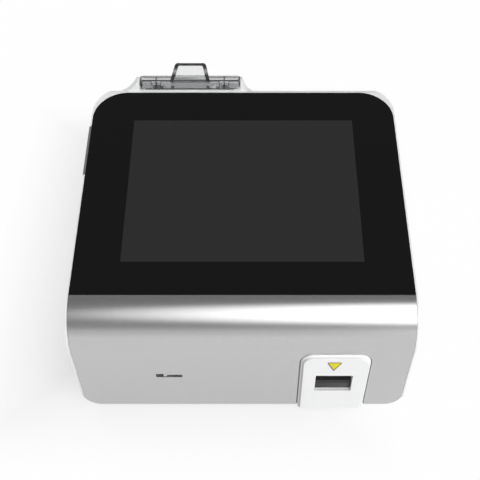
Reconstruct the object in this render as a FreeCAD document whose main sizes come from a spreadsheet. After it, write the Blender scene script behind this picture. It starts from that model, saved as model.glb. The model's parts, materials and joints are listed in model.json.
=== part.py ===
"""Bench-top immunofluorescence analyzer as a parametric assembly, in millimetres.

Frame: X to the right, Y to the back, Z up. The origin lies on the table plane, in the middle of the width
and of the depth. The display slope has a frame of its own, which starts at the middle of the glass's front
edge: X to the right, S up the slope and N out of the glass.
"""

import FreeCAD, Part
import math
import os

import Sketcher

doc = FreeCAD.newDocument("Analyzer")
sheet = doc.addObject("Spreadsheet::Sheet", "Dims")
V = FreeCAD.Vector

# Driving dimensions: name, value in millimetres or degrees
DIMENSIONS = {
    "tilt": 10.4,
    "front_y": -106.4,
    "front_height": 96,
    "foot_gap": 3,
    "bull_radius": 29.3,
    "glass_width": 224,
    "glass_run": 173.3,
    "glass_thick": 2,
    "glass_corner": 24.6,
    "seam": 0.2,
    "side_lip": 1,
    "rear_lip": 6.4,
    "rear_round": 6,
    "bottom_round": 13,
    "inside_round": 28,
    "case_wall": 2.5,
    "cover_wall": 2.5,
    "fit_gap": 0.3,
    "run_gap": 0.05,
    "active_front": 24.6,
    "active_width": 162,
    "active_run": 121.5,
    "lcd_side_margin": 6,
    "lcd_end_margin": 4,
    "lcd_thick": 6,
    "bracket_rim": 9,
    "bracket_end_rim": 7,
    "bracket_sheet": 1.2,
    "hump_left": -93,
    "hump_right": 6.6,
    "hump_rise": 7.5,
    "hump_crest": 7.2,
    "hump_radius": 8,
    "hump_foot": 2,
    "hump_lean": 22,
    "hump_drop": 56,
    "hump_run_out": 9,
    "flank_left_radius": 22,
    "flank_right_radius": 10.5,
    "flank_left_shift": 6,
    "flank_right_shift": 3.2,
    "flank_drop": 2.8,
    "flank_left_sweep": 15.2,
    "flank_right_sweep": 9.4,
    "flank_sweep_shift": 1.4,
    "lid_left": -78.7,
    "lid_width": 76.1,
    "lid_front": 3.5,
    "lid_sheet": 1.6,
    "lid_rise": 5.6,
    "lid_fold": 6.5,
    "lid_crest": 12,
    "lid_skirt": 49,
    "lid_chamfer": 2,
    "lid_gap": 0.4,
    "lid_pin_radius": 0.8,
    "lid_knuckle_radius": 1.7,
    "lid_knuckle_width": 2.6,
    "lid_knuckle_spread": 26,
    "lid_axis_drop": 0.4,
    "lid_lip_rise": 0.6,
    "lid_back_fold": 1,
    "lid_end_depth": 4,
    "lid_end_drop": 6,
    "lid_ear_width": 1.4,
    "tab_root_width": 30.5,
    "tab_tip_width": 23.6,
    "tab_reach": 16.8,
    "tab_rise": 20.8,
    "tab_sheet": 1.2,
    "tab_rim": 1.6,
    "tab_height": 2.6,
    "tab_corner": 3,
    "bezel_side_gap": 51.2,
    "bezel_width": 46.4,
    "bezel_top": 66.4,
    "bezel_bottom": 2.4,
    "bezel_proud": 2.6,
    "bezel_seat": 1.5,
    "bezel_gap": 0.8,
    "bezel_top_gap": 0.3,
    "bezel_bevel": 2,
    "bezel_corner": 8.4,
    "slot_width": 25,
    "slot_floor": 25.6,
    "slot_height": 19.1,
    "sleeve_wall": 2,
    "sleeve_depth": 9,
    "chip_side_gap": 54.5,
    "chip_width": 17.7,
    "chip_top": 42.9,
    "chip_height": 4,
    "chip_step": 1,
    "chip_key_left": 5.1,
    "chip_key_width": 2.3,
    "chip_body_depth": 14,
    "chip_body_margin": 2.6,
    "board_thick": 1.6,
    "chip_board_width": 34,
    "chip_board_height": 30,
    "tray_side_gap": 0.4,
    "tray_floor_gap": 0.4,
    "tray_height": 9.4,
    "tray_nose": 2.3,
    "tray_travel": 60,
    "tray_pocket_width": 20.6,
    "tray_pocket_depth": 4.6,
    "tray_pocket_start": 4,
    "tray_pocket_length": 70,
    "tray_block_length": 16,
    "tray_block_floor": 16,
    "rod_radius": 1.5,
    "rod_spread": 9,
    "rod_height": 20.6,
    "screw_radius": 2.5,
    "screw_shaft_radius": 1.5,
    "screw_shaft_length": 8,
    "nut_radius": 5,
    "nut_length": 12,
    "nut_step": 1,
    "nut_flange": 2,
    "chassis_floor": 12,
    "chassis_sheet": 2,
    "chassis_width": 38,
    "chassis_front_gap": 1,
    "travel_stop": 5.7,
    "chassis_back_gap": 11.3,
    "chassis_wall_height": 46,
    "chassis_front_height": 25,
    "chassis_leg_inset": 5,
    "chassis_leg_step": 8,
    "motor_size": 20,
    "motor_length": 18,
    "sensor_width": 4.4,
    "sensor_slit": 1.6,
    "flag_thick": 0.8,
    "sensor_length": 14,
    "sensor_height": 9,
    "optics_width": 38,
    "optics_start": 40,
    "optics_length": 44,
    "optics_height": 34,
    "lens_radius": 6,
    "lens_length": 10,
    "lens_ledge": 1.5,
    "led_radius": 2.5,
    "led_length": 9,
    "led_rise": 2,
    "filter_radius": 6.5,
    "filter_thick": 2,
    "shield_side": 6,
    "shield_end": 8,
    "shield_rise": 4,
    "plate_thick": 3,
    "plate_margin": 15,
    "plate_front": 12,
    "plate_rear": 30,
    "post_radius": 5,
    "post_height": 14,
    "post_inset": 7,
    "screw_head_radius": 3,
    "screw_head_height": 1.8,
    "screw_shank_radius": 1.4,
    "screw_shank_length": 10,
    "foot_radius": 9,
    "foot_recess": 0.8,
    "foot_inset": 22,
    "standoff_height": 6,
    "standoff_radius": 3,
    "main_board_side_gap": 15.2,
    "main_board_width": 120,
    "main_board_front_gap": 30.4,
    "main_board_back_gap": 20.4,
    "processor_left": 44,
    "processor_front": 40,
    "processor_size": 23,
    "processor_rise": 2,
    "memory_left": 82,
    "memory_front": 22,
    "memory_width": 26,
    "memory_depth": 30,
    "memory_rise": 3.5,
    "header_left": 40,
    "header_front": 92,
    "header_width": 34,
    "header_size": 5,
    "board_hole_inset": 5,
    "board_screw_radius": 1.2,
    "board_head_radius": 2.4,
    "board_head_height": 1.5,
    "io_side_gap": 27.2,
    "io_width": 72,
    "io_depth": 28,
    "io_height": 10,
    "socket_proud": 0.6,
    "lan_place": 10,
    "lan_width": 16,
    "lan_height": 13.5,
    "lan_depth": 21,
    "lan_wall": 1.8,
    "lan_mouth": 14,
    "usb_place": 30,
    "usb_width": 14.4,
    "usb_height": 7,
    "usb_depth": 17,
    "usb_shelf": 9,
    "usb_wall": 0.6,
    "usb_mouth": 13,
    "usb_tongue_side": 0.8,
    "usb_tongue_top": 0.5,
    "usb_tongue_thick": 1.8,
    "usb_tongue_length": 12,
    "usb_tongue_inset": 1.4,
    "serial_place": 56,
    "serial_width": 31,
    "serial_height": 12.5,
    "serial_depth": 12,
    "serial_shell_width": 17,
    "serial_shell_height": 8.4,
    "serial_shell_length": 6,
    "serial_wall": 0.6,
    "pin_pitch": 2.76,
    "pin_radius": 0.5,
    "inlet_side_gap": 33.2,
    "inlet_z": 30,
    "inlet_radius": 5.5,
    "inlet_depth": 12,
    "inlet_flange": 7,
    "inlet_flange_thick": 1.2,
    "inlet_bore": 3.2,
    "inlet_pin": 1,
    "inlet_floor": 3,
    "inlet_pin_back": 1,
    "inlet_step": 0.5,
    "power_side_gap": 59.2,
    "power_z": 30,
    "power_width": 13,
    "power_height": 19,
    "power_flange": 2,
    "power_flange_thick": 1.6,
    "power_depth": 12,
    "power_wall": 0.7,
    "power_floor": 2,
    "rocker_tilt": 8,
    "rocker_half": 7.9,
    "rocker_thick": 4.2,
    "rocker_pivot": 3,
    "rocker_axle": 1,
    "rocker_root": 2.2,
    "rocker_root_half": 4,
    "rocker_edge": 0.5,
    "vent_count": 9,
    "vent_pitch": 6,
    "vent_width": 2.4,
    "vent_height": 24,
    "vent_left": 30,
    "vent_floor": 62,
    "port_start": 96.5,
    "port_run": 44,
    "port_top": -6,
    "port_height": 20,
    "port_thick": 1.6,
    "port_proud": 0.6,
    "port_rim_drop": 0.4,
    "port_gap": 0.3,
    "port_boss": 5,
    "port_knuckle": 1.3,
    "port_pin_radius": 0.6,
    "port_axis_drop": 2.1,
    "port_usb_spread": 18,
    "port_pin_reach": 2,
    "port_boss_rim": 5,
    "port_boss_floor": 6,
    "port_usb_gap": 0.2,
    "speaker_side_gap": 89.2,
    "speaker_front_gap": 26.4,
    "speaker_radius": 14,
    "speaker_height": 8,
    "speaker_hole": 1.2,
    "platen_rise": 6.8,
    "platen_drop": 11.3,
    "platen_radius": 4.5,
    "platen_length": 58,
    "platen_shaft": 1.5,
    "frame_spread": 31,
    "frame_sheet": 2,
    "cheek_front": 12,
    "cheek_drop": 14,
    "cheek_depth": 17,
    "cheek_height": 18,
    "gear_case_front": 11,
    "gear_case_drop": 10,
    "gear_case_depth": 24,
    "gear_case_height": 22,
    "gear_case_wall": 3,
    "gear_module": 0.8,
    "gear_face": 3,
    "gear_gap": 0.4,
    "platen_teeth": 14,
    "idler_teeth": 20,
    "pinion_teeth": 10,
    "idler_angle": 225,
    "pinion_angle": 225.8,
    "gear_slack": 0.12,
    "printer_motor_radius": 9,
    "printer_motor_length": 19,
    "spindle_reach": 4,
    "spindle_room": 5,
    "head_thick": 1.8,
    "head_height": 13,
    "head_width": 54,
    "head_gap": 0.3,
    "head_drop": 2,
    "spring_radius": 2,
    "spring_spread": 16,
    "spring_drop": 3,
    "bin_radius": 21,
    "bin_back": 15.5,
    "bin_drop": 33.5,
    "bin_length": 59,
    "bin_wall": 1.2,
    "display_board_width": 110,
    "display_board_run": 70,
    "display_board_thick": 1.6,
    "display_spacer": 4,
    "display_spacer_inset": 12,
    "ribbon_width": 24,
    "ribbon_thick": 0.4,
    "ribbon_left": 30,
    "ribbon_foot": 14,
    "ribbon_top": 20,
}

for row, (name, value) in enumerate(DIMENSIONS.items(), start=1):
    sheet.set(f"A{row}", name)
    sheet.set(f"B{row}", str(value))
    sheet.setAlias(f"B{row}", name)
doc.recompute()


class Size:
    """A number together with the spreadsheet expression that gives it."""

    def __init__(self, text, value):
        self.text = text
        self.value = value

    def __add__(self, other):
        other = size(other)
        return Size(f"({self.text} + {other.text})", self.value + other.value)

    def __sub__(self, other):
        other = size(other)
        return Size(f"({self.text} - {other.text})", self.value - other.value)

    def __mul__(self, other):
        other = size(other)
        return Size(f"({self.text} * {other.text})", self.value * other.value)

    def __truediv__(self, other):
        other = size(other)
        return Size(f"({self.text} / {other.text})", self.value / other.value)

    def __radd__(self, other):
        return size(other) + self

    def __rsub__(self, other):
        return size(other) - self

    def __rmul__(self, other):
        return size(other) * self

    def __neg__(self):
        return Size(f"(0 - {self.text})", -self.value)


def size(number):
    """Make a Size of a plain number."""
    return number if isinstance(number, Size) else Size(f"({float(number):.6f})", float(number))


def sin(angle):
    return Size(f"sin({angle.text})", math.sin(math.radians(angle.value)))


def cos(angle):
    return Size(f"cos({angle.text})", math.cos(math.radians(angle.value)))


def tan(angle):
    return Size(f"tan({angle.text})", math.tan(math.radians(angle.value)))


class Cells:
    """Give each aliased cell of the sheet as a Size."""

    def __getattr__(self, alias):
        return Size(f"Dims.{alias}", float(sheet.get(alias)))


d = Cells()


def bind(thing, **sizes):
    """Bind properties of an object to the expressions of some sizes."""
    for name, value in sizes.items():
        thing.setExpression(name, size(value).text)


def place(thing, x=0, y=0, z=0):
    """Bind an object's position."""
    for axis, value in zip("xyz", (x, y, z)):
        thing.setExpression(f"Placement.Base.{axis}", size(value).text)
    return thing


def turn(thing, axis, angle):
    """Bind an object's rotation about an axis."""
    thing.Placement = FreeCAD.Placement(V(0, 0, 0), FreeCAD.Rotation(V(*axis), 1))
    thing.setExpression("Placement.Rotation.Angle", size(angle).text)
    return thing


used_names = {}


def unique(name):
    """Give each helper object a name of its own."""
    used_names[name] = used_names.get(name, 0) + 1
    return f"{name}_{used_names[name]}"


no_gap = size(0)

# Places that many pieces share
side = d.glass_width / 2 + d.seam + d.side_lip
slope_y = d.front_y + d.bull_radius * (1 - sin(d.tilt))
slope_z = d.foot_gap + d.front_height
back_edge_y = slope_y + d.glass_run * cos(d.tilt)
back_edge_z = slope_z + d.glass_run * sin(d.tilt)
rear_y = back_edge_y + d.rear_lip
bull_center_z = slope_z - d.bull_radius * cos(d.tilt)
front_inside = d.front_y + d.cover_wall + d.seam + d.case_wall
plate_top = d.foot_gap + d.plate_thick
bezel_center = side - d.bezel_side_gap
chip_left = -side + d.chip_side_gap
speaker_x = -side + d.speaker_side_gap
speaker_y = d.front_y + d.speaker_front_gap
main_board_left = -side + d.main_board_side_gap
main_board_front = d.front_y + d.plate_front + d.main_board_front_gap
main_board_depth = rear_y - d.plate_rear - d.main_board_back_gap - main_board_front
io_left = side - d.io_side_gap - d.io_width
lan_center = io_left + d.lan_place
usb_center = io_left + d.usb_place
serial_center = io_left + d.serial_place
inlet_x = -side + d.inlet_side_gap
power_x = -side + d.power_side_gap
lcd_front = d.active_front - d.lcd_end_margin
lcd_width = d.active_width + 2 * d.lcd_side_margin
lcd_run = d.active_run + 2 * d.lcd_end_margin


def on_slope(along, out):
    """Give the Y and Z of a point of the display slope's frame."""
    y = slope_y + along * cos(d.tilt) - out * sin(d.tilt)
    z = slope_z + along * sin(d.tilt) + out * cos(d.tilt)
    return y, z


def tilted(thing, x=0, along=0, out=0):
    """Lay an object, made in the slope's frame, on the slope."""
    turn(thing, (1, 0, 0), d.tilt)
    return place(thing, x, *on_slope(size(along), size(out)))


def box(x, y, z, width, depth, height, name="block"):
    """Make a box from its low corner and its three sizes."""
    block = doc.addObject("Part::Box", unique(name))
    bind(block, Length=width, Width=depth, Height=height)
    return place(block, x, y, z)


def slope_box(x, along, out, width, run, height, name="block"):
    """Make a box in the slope's frame, from its low corner."""
    block = doc.addObject("Part::Box", unique(name))
    bind(block, Length=width, Width=run, Height=height)
    return tilted(block, x, along, out)


AXES = {"X": (0, 1, 0, 90), "Y": (1, 0, 0, -90), "Z": (0, 0, 1, 0)}


def rod(x, y, z, radius, length, axis="Z", name="rod"):
    """Make a cylinder that starts at a point and runs along an axis."""
    cylinder = doc.addObject("Part::Cylinder", unique(name))
    bind(cylinder, Radius=radius, Height=length)
    *direction, angle = AXES[axis]
    cylinder.Placement = FreeCAD.Placement(V(0, 0, 0), FreeCAD.Rotation(V(*direction), angle))
    return place(cylinder, x, y, z)


def slope_rod(x, along, out, radius, length, axis="S", name="rod"):
    """Make a cylinder in the slope's frame: along S, up the slope, or along N, out of the glass."""
    cylinder = doc.addObject("Part::Cylinder", unique(name))
    bind(cylinder, Radius=radius, Height=length)
    turn(cylinder, (1, 0, 0), d.tilt - 90 if axis == "S" else d.tilt)
    return place(cylinder, x, *on_slope(size(along), size(out)))


def fuse(*things, name="joined"):
    """Join solids into one."""
    joined = doc.addObject("Part::MultiFuse", unique(name))
    joined.Shapes = list(things)
    joined.Refine = True
    return joined


def group(*things, name="set"):
    """Keep solids that don't touch as one piece of several solids."""
    together = doc.addObject("Part::Compound", unique(name))
    together.Links = list(things)
    return together


def cut(base, *tools, name="cut"):
    """Cut one or more tools out of a solid."""
    result = doc.addObject("Part::Cut", unique(name))
    result.Base = base
    result.Tool = tools[0] if len(tools) == 1 else group(*tools)
    result.Refine = True
    return result


def new_body(name):
    """Start a body."""
    body = doc.addObject("PartDesign::Body", unique(name))
    doc.recompute()
    return body


def outline(body, plane, corners):
    """Draw a closed outline on one of a body's planes.

    Each corner is (x, y), or (x, y, radius) where an arc of that radius runs on to the next corner. A
    positive radius bulges out of an outline that is drawn anticlockwise, and a negative one hollows it.
    """
    sketch = body.newObject("Sketcher::SketchObject", unique("Sketch"))
    origin_plane = [f for f in body.Origin.OriginFeatures if f.Role == plane][0]
    sketch.AttachmentSupport = (origin_plane, [""])
    sketch.MapMode = "FlatFace"
    corners = [tuple(size(n) for n in corner) for corner in corners]
    ends = []
    for index, corner in enumerate(corners):
        after = corners[(index + 1) % len(corners)]
        start = V(corner[0].value, corner[1].value, 0)
        stop = V(after[0].value, after[1].value, 0)
        if len(corner) == 2:
            sketch.addGeometry(Part.LineSegment(start, stop))
            ends.append((1, 2))
            continue
        radius = corner[2].value
        chord = stop - start
        half = chord.Length / 2
        height = math.sqrt(max(radius * radius - half * half, 0.0))
        left = V(-chord.y, chord.x, 0).normalize()
        center = (start + stop) / 2 + left * (height if radius > 0 else -height)
        first, last = (start, stop) if radius > 0 else (stop, start)
        angles = [math.atan2(p.y - center.y, p.x - center.x) for p in (first, last)]
        if angles[1] < angles[0]:
            angles[1] += 2 * math.pi
        circle = Part.Circle(center, V(0, 0, 1), abs(radius))
        sketch.addGeometry(Part.ArcOfCircle(circle, *angles))
        ends.append((1, 2) if radius > 0 else (2, 1))
    for index, corner in enumerate(corners):
        before = index - 1 if index else len(corners) - 1
        joint = Sketcher.Constraint("Coincident", before, ends[before][1], index, ends[index][0])
        sketch.addConstraint(joint)
        for kind, value in zip(("DistanceX", "DistanceY"), corner):
            pin = sketch.addConstraint(Sketcher.Constraint(kind, -1, 1, index, ends[index][0], value.value))
            sketch.setExpression(f"Constraints[{pin}]", value.text)
        if len(corner) == 3:
            bulge = corner[2] if corner[2].value > 0 else -corner[2]
            pin = sketch.addConstraint(Sketcher.Constraint("Radius", index, bulge.value))
            sketch.setExpression(f"Constraints[{pin}]", bulge.text)
    return sketch


def pad(body, sketch, length, midplane=False, reverse=False):
    """Pad a sketch."""
    feature = body.newObject("PartDesign::Pad", unique("Pad"))
    feature.Profile = sketch
    feature.Midplane = midplane
    feature.Reversed = reverse
    bind(feature, Length=length)
    body.Tip = feature
    doc.recompute()
    return feature


def dress(body, kind, amount, test):
    """Round or chamfer the edges of a body's tip that pass a test."""
    tip = body.Tip
    edges = [f"Edge{i + 1}" for i, edge in enumerate(tip.Shape.Edges) if test(edge)]
    feature = body.newObject(f"PartDesign::{kind}", unique(kind))
    feature.Base = (tip, edges)
    bind(feature, **{"Radius" if kind == "Fillet" else "Size": amount})
    body.Tip = feature
    doc.recompute()
    return feature


def near(a, b, reach=0.01):
    """Say whether two numbers are the same place."""
    return abs(a - size(b).value) < reach


def runs_along(edge, axis):
    """Say whether an edge is straight and runs along an axis."""
    if not isinstance(edge.Curve, Part.Line):
        return False
    return abs(getattr(edge.Curve.Direction, axis)) > 0.999


def extrude(plane, corners, length, name, midplane=False, reverse=False):
    """Make a body of one padded outline."""
    body = new_body(name)
    pad(body, outline(body, plane, corners), length, midplane, reverse)
    return body


parts = {}


def keep(thing, node):
    """Name a finished piece."""
    thing.Label = node
    parts[node] = thing
    return thing


def case_profile(inset, top_inset, front_inset, floor, heel):
    """Give the side outline of the case, set in from its outer faces, with a round heel or a square one."""
    lean = (90 + d.tilt) / 2
    rounding = d.rear_round - inset
    reach = rounding * tan(lean)
    wall_y = rear_y - inset
    foot_y = d.front_y + front_inset
    top_y, top_z = on_slope(size(0), -top_inset)
    nose_y, nose_z = on_slope(size(0), -front_inset)
    corner_z = top_z + (wall_y - top_y) * tan(d.tilt)
    lower = [(wall_y, floor)]
    if heel is not no_gap:
        lower = [(wall_y - heel, floor, heel), (wall_y, floor + heel)]
    upper = [
        (wall_y, corner_z - reach, rounding),
        (wall_y - reach * cos(d.tilt), corner_z - reach * sin(d.tilt)),
    ]
    step = [] if top_inset is front_inset else [(top_y, top_z)]
    nose = [(nose_y, nose_z, d.bull_radius - front_inset), (foot_y, bull_center_z)]
    return [(foot_y, floor)] + lower + upper + step + nose


def plan_outline(half, front, back, rounding, rise, name):
    """Make a tall block with the case's plan outline: square in front, round at the back."""
    return extrude(
        "XY_Plane",
        [
            (-half, front),
            (half, front),
            (half, back - rounding, rounding),
            (half - rounding, back),
            (-half + rounding, back, rounding),
            (-half, back - rounding),
        ],
        rise,
        name,
    )


def shared_form(*things, name="shared"):
    """Keep what several solids share."""
    result = doc.addObject("Part::MultiCommon", unique(name))
    result.Shapes = list(things)
    return result


def round_edges(base, radius, test, name="rounded"):
    """Round the edges of a finished solid that pass a test."""
    doc.recompute()
    result = doc.addObject("Part::Fillet", unique(name))
    result.Base = base
    edges = [i + 1 for i, edge in enumerate(base.Shape.Edges) if test(edge)]
    result.Edges = [(number, radius.value, radius.value) for number in edges]
    doc.recompute()
    return result


def bevel_edges(base, amount, test, name="bevelled"):
    """Chamfer the edges of a finished solid that pass a test."""
    doc.recompute()
    result = doc.addObject("Part::Chamfer", unique(name))
    result.Base = base
    edges = [i + 1 for i, edge in enumerate(base.Shape.Edges) if test(edge)]
    result.Edges = [(number, amount.value, amount.value) for number in edges]
    doc.recompute()
    return result


case_ceiling = back_edge_z + d.hump_rise


def case_outside():
    """Make the case's outer form: its side and plan outlines share it, and the underside's edge is rolled."""
    corners = case_profile(no_gap, no_gap, no_gap, d.foot_gap, no_gap)
    profile = extrude("YZ_Plane", corners, side * 2, "case_side", midplane=True)
    rounding = d.glass_corner + d.seam + d.side_lip
    plan = plan_outline(side, d.front_y, rear_y, rounding, case_ceiling, "case_plan")
    front = d.front_y.value

    def underside(edge):
        reach = edge.BoundBox
        flat = near(reach.ZMin, d.foot_gap) and near(reach.ZMax, d.foot_gap)
        return flat and not (runs_along(edge, "x") and near(edge.CenterOfMass.y, front))

    return round_edges(shared_form(profile, plan), d.bottom_round, underside)


def case_inside():
    """Make the case's hollow: what its side, plan and front outlines share, one wall inside the case."""
    wall = d.case_wall
    front_inset = d.cover_wall + d.seam + wall
    floor = d.foot_gap + wall
    heel = d.bottom_round - wall
    half = side - wall
    corners = case_profile(wall, d.glass_thick + wall, front_inset, floor, heel)
    profile = extrude("YZ_Plane", corners, half * 2, "hollow_side", midplane=True)
    front = d.front_y + front_inset
    back = rear_y - wall
    plan = plan_outline(half, front, back, d.inside_round, case_ceiling, "hollow_plan")
    upright = extrude(
        "XZ_Plane",
        [
            (-half + heel, floor),
            (half - heel, floor, heel),
            (half, floor + heel),
            (half, case_ceiling),
            (-half, case_ceiling),
            (-half, floor + heel, heel),
        ],
        (back - front) * 2 + d.front_height,
        "hollow_front",
        midplane=True,
    )
    return shared_form(profile, plan, upright)


def hump():
    """Make the printer's hump: a round crest behind the glass, with hollow flanks at both ends."""
    crest_y = back_edge_y + d.hump_crest
    crest_z = back_edge_z + d.hump_rise
    ring_z = crest_z - d.hump_radius
    back = crest_y + d.hump_radius
    low = back_edge_z - d.hump_drop
    corners = [
        (rear_y - d.case_wall, low - d.hump_run_out),
        (rear_y, low - d.hump_run_out),
        (back, low),
        (back, ring_z, d.hump_radius),
        (crest_y, crest_z, d.hump_radius),
        (crest_y - d.hump_radius * sin(d.hump_lean), ring_z + d.hump_radius * cos(d.hump_lean)),
        (back_edge_y + d.hump_foot, back_edge_z),
        (back_edge_y + d.hump_foot, back_edge_z - d.case_wall),
        (rear_y - d.case_wall, back_edge_z - d.case_wall * 3),
    ]
    body = extrude("YZ_Plane", corners, d.hump_right - d.hump_left, "hump")
    place(body, d.hump_left)
    flanks = []
    left = d.hump_left - d.flank_left_shift
    right = d.hump_right + d.flank_right_shift
    for x, radius in ((left, d.flank_left_radius), (right, d.flank_right_radius)):
        y = back_edge_y + d.hump_foot - 1
        z = back_edge_z - d.flank_drop + radius
        flanks.append(rod(x, y, z, radius, d.hump_crest + d.hump_radius + 2, "Y"))
    height = d.hump_drop + d.hump_run_out + d.hump_rise + 2
    left = d.hump_left - d.flank_sweep_shift
    right = d.hump_right + d.flank_sweep_shift
    for x, radius in ((left, d.flank_left_sweep), (right, d.flank_right_sweep)):
        y = rear_y + radius - d.seam
        flanks.append(rod(x, y, low - d.hump_run_out - 1, radius, height, "Z"))
    return cut(body, *flanks)


lid_right = d.lid_left + d.lid_width
lid_middle = d.lid_left + d.lid_width / 2
lid_knuckle_places = (lid_middle - d.lid_knuckle_spread, lid_middle + d.lid_knuckle_spread)
lid_back = back_edge_y + d.hump_crest + d.hump_radius
lid_low = back_edge_z + d.lid_rise - d.lid_skirt
lid_axis_y = back_edge_y + d.lid_front + d.lid_knuckle_radius
lid_axis_z = back_edge_z + d.lid_knuckle_radius - d.lid_axis_drop


def lid_ears():
    """Make the two pairs of ears that carry the clear lid's pins."""
    ears = []
    for x in lid_knuckle_places:
        for start in (
            x - d.lid_knuckle_width / 2 - d.seam - d.lid_ear_width,
            x + d.lid_knuckle_width / 2 + d.seam,
        ):
            y = back_edge_y + d.hump_foot
            z = lid_axis_z - d.lid_knuckle_radius * 2.5
            depth = lid_axis_y + d.lid_knuckle_radius - y
            ear = box(start, y, z, d.lid_ear_width, depth, lid_axis_z - d.lid_pin_radius - z)
            cap = rod(start, lid_axis_y, lid_axis_z, d.lid_knuckle_radius, d.lid_ear_width, "X")
            ears.append(fuse(ear, cap))
    return ears


def lid_pin(x, extra):
    """Make one pin, or its bore when it gets some extra radius."""
    length = d.lid_knuckle_width + 2 * (d.seam + d.lid_ear_width)
    return rod(x - length / 2, lid_axis_y, lid_axis_z, d.lid_pin_radius + extra, length, "X")


port_x = -side - d.port_proud
port_axis_x = port_x + d.port_proud + d.fit_gap
port_axis_n = d.port_top - d.port_height + d.port_knuckle


def port_pin(extra):
    """Make the side port cover's pin, or its bore."""
    start = d.port_start - d.port_pin_reach
    length = d.port_run + 2 * d.port_pin_reach
    return slope_rod(port_axis_x, start, port_axis_n, d.port_pin_radius + extra, length)


def rear_holes():
    """Give the holes of the rear wall: sockets, switch, inlet and vents."""
    y = rear_y - d.case_wall - 1
    depth = d.case_wall + 2
    gap = d.fit_gap
    holes = []
    for x, z, width, height in rear_sockets():
        holes.append(box(x - width / 2 - gap, y, z - gap, width + 2 * gap, depth, height + 2 * gap))
    holes.append(rod(inlet_x, y, d.inlet_z, d.inlet_radius + gap, depth, "Y"))
    holes.append(
        box(
            power_x - d.power_width / 2 - gap,
            y,
            d.power_z - d.power_height / 2 - gap,
            d.power_width + 2 * gap,
            depth,
            d.power_height + 2 * gap,
        )
    )
    for index in range(int(d.vent_count.value)):
        x = d.vent_left + index * d.vent_pitch
        holes.append(box(x, y, d.vent_floor, d.vent_width, depth, d.vent_height))
    return holes


io_floor = plate_top + d.io_height
io_top = io_floor + d.board_thick


def rear_sockets():
    """Give the centre, floor, width and height of each rear socket's opening."""
    return [
        (lan_center, io_top, d.lan_width, d.lan_height),
        (usb_center, io_top, d.usb_width, d.usb_height),
        (usb_center, io_top + d.usb_shelf, d.usb_width, d.usb_height),
        (
            serial_center,
            io_top + (d.serial_height - d.serial_shell_height) / 2,
            d.serial_shell_width,
            d.serial_shell_height,
        ),
    ]


tongue_side = d.usb_wall + d.usb_tongue_side
tongue_floor = d.usb_height - d.usb_wall - d.usb_tongue_top - d.usb_tongue_thick
slot_left = bezel_center - d.slot_width / 2
sleeve_gap = d.sleeve_wall + d.fit_gap


def sleeve_hole(y, depth):
    """Make the hole that the bezel's sleeve passes through."""
    return box(
        slot_left - sleeve_gap,
        y,
        d.slot_floor - sleeve_gap,
        d.slot_width + 2 * sleeve_gap,
        depth,
        d.slot_height + 2 * sleeve_gap,
    )


def chip_hole(y, depth, gap=0):
    """Make the keyed slot for the calibration chip."""
    left = chip_left - gap
    floor = d.chip_top - d.chip_height - gap
    key = left + d.chip_key_left + gap * 2
    wide = box(left, y, floor, d.chip_key_left + gap * 2, depth, d.chip_height + gap * 2)
    slit = box(key - 1, y, floor, d.chip_key_width + 2, depth, d.chip_step)
    start = key + d.chip_key_width
    width = chip_left + d.chip_width + gap - start
    right = box(start, y, floor, width, depth, d.chip_height - d.chip_step + gap)
    return fuse(wide, slit, right)


def plate_corners(step):
    """Give the places near the base plate's four corners, set in by a step."""
    for x in (-(side - d.plate_margin) + step, side - d.plate_margin - step):
        for y in (d.front_y + d.plate_front + step, rear_y - d.plate_rear - step):
            yield x, y


def base_opening(gap, floor, height):
    """Make the base plate's form, or its opening when it gets a gap."""
    left = -(side - d.plate_margin) - gap
    front = d.front_y + d.plate_front - gap
    return box(
        left,
        front,
        floor,
        -2 * left,
        rear_y - d.plate_rear + gap - front,
        height,
    )


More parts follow.
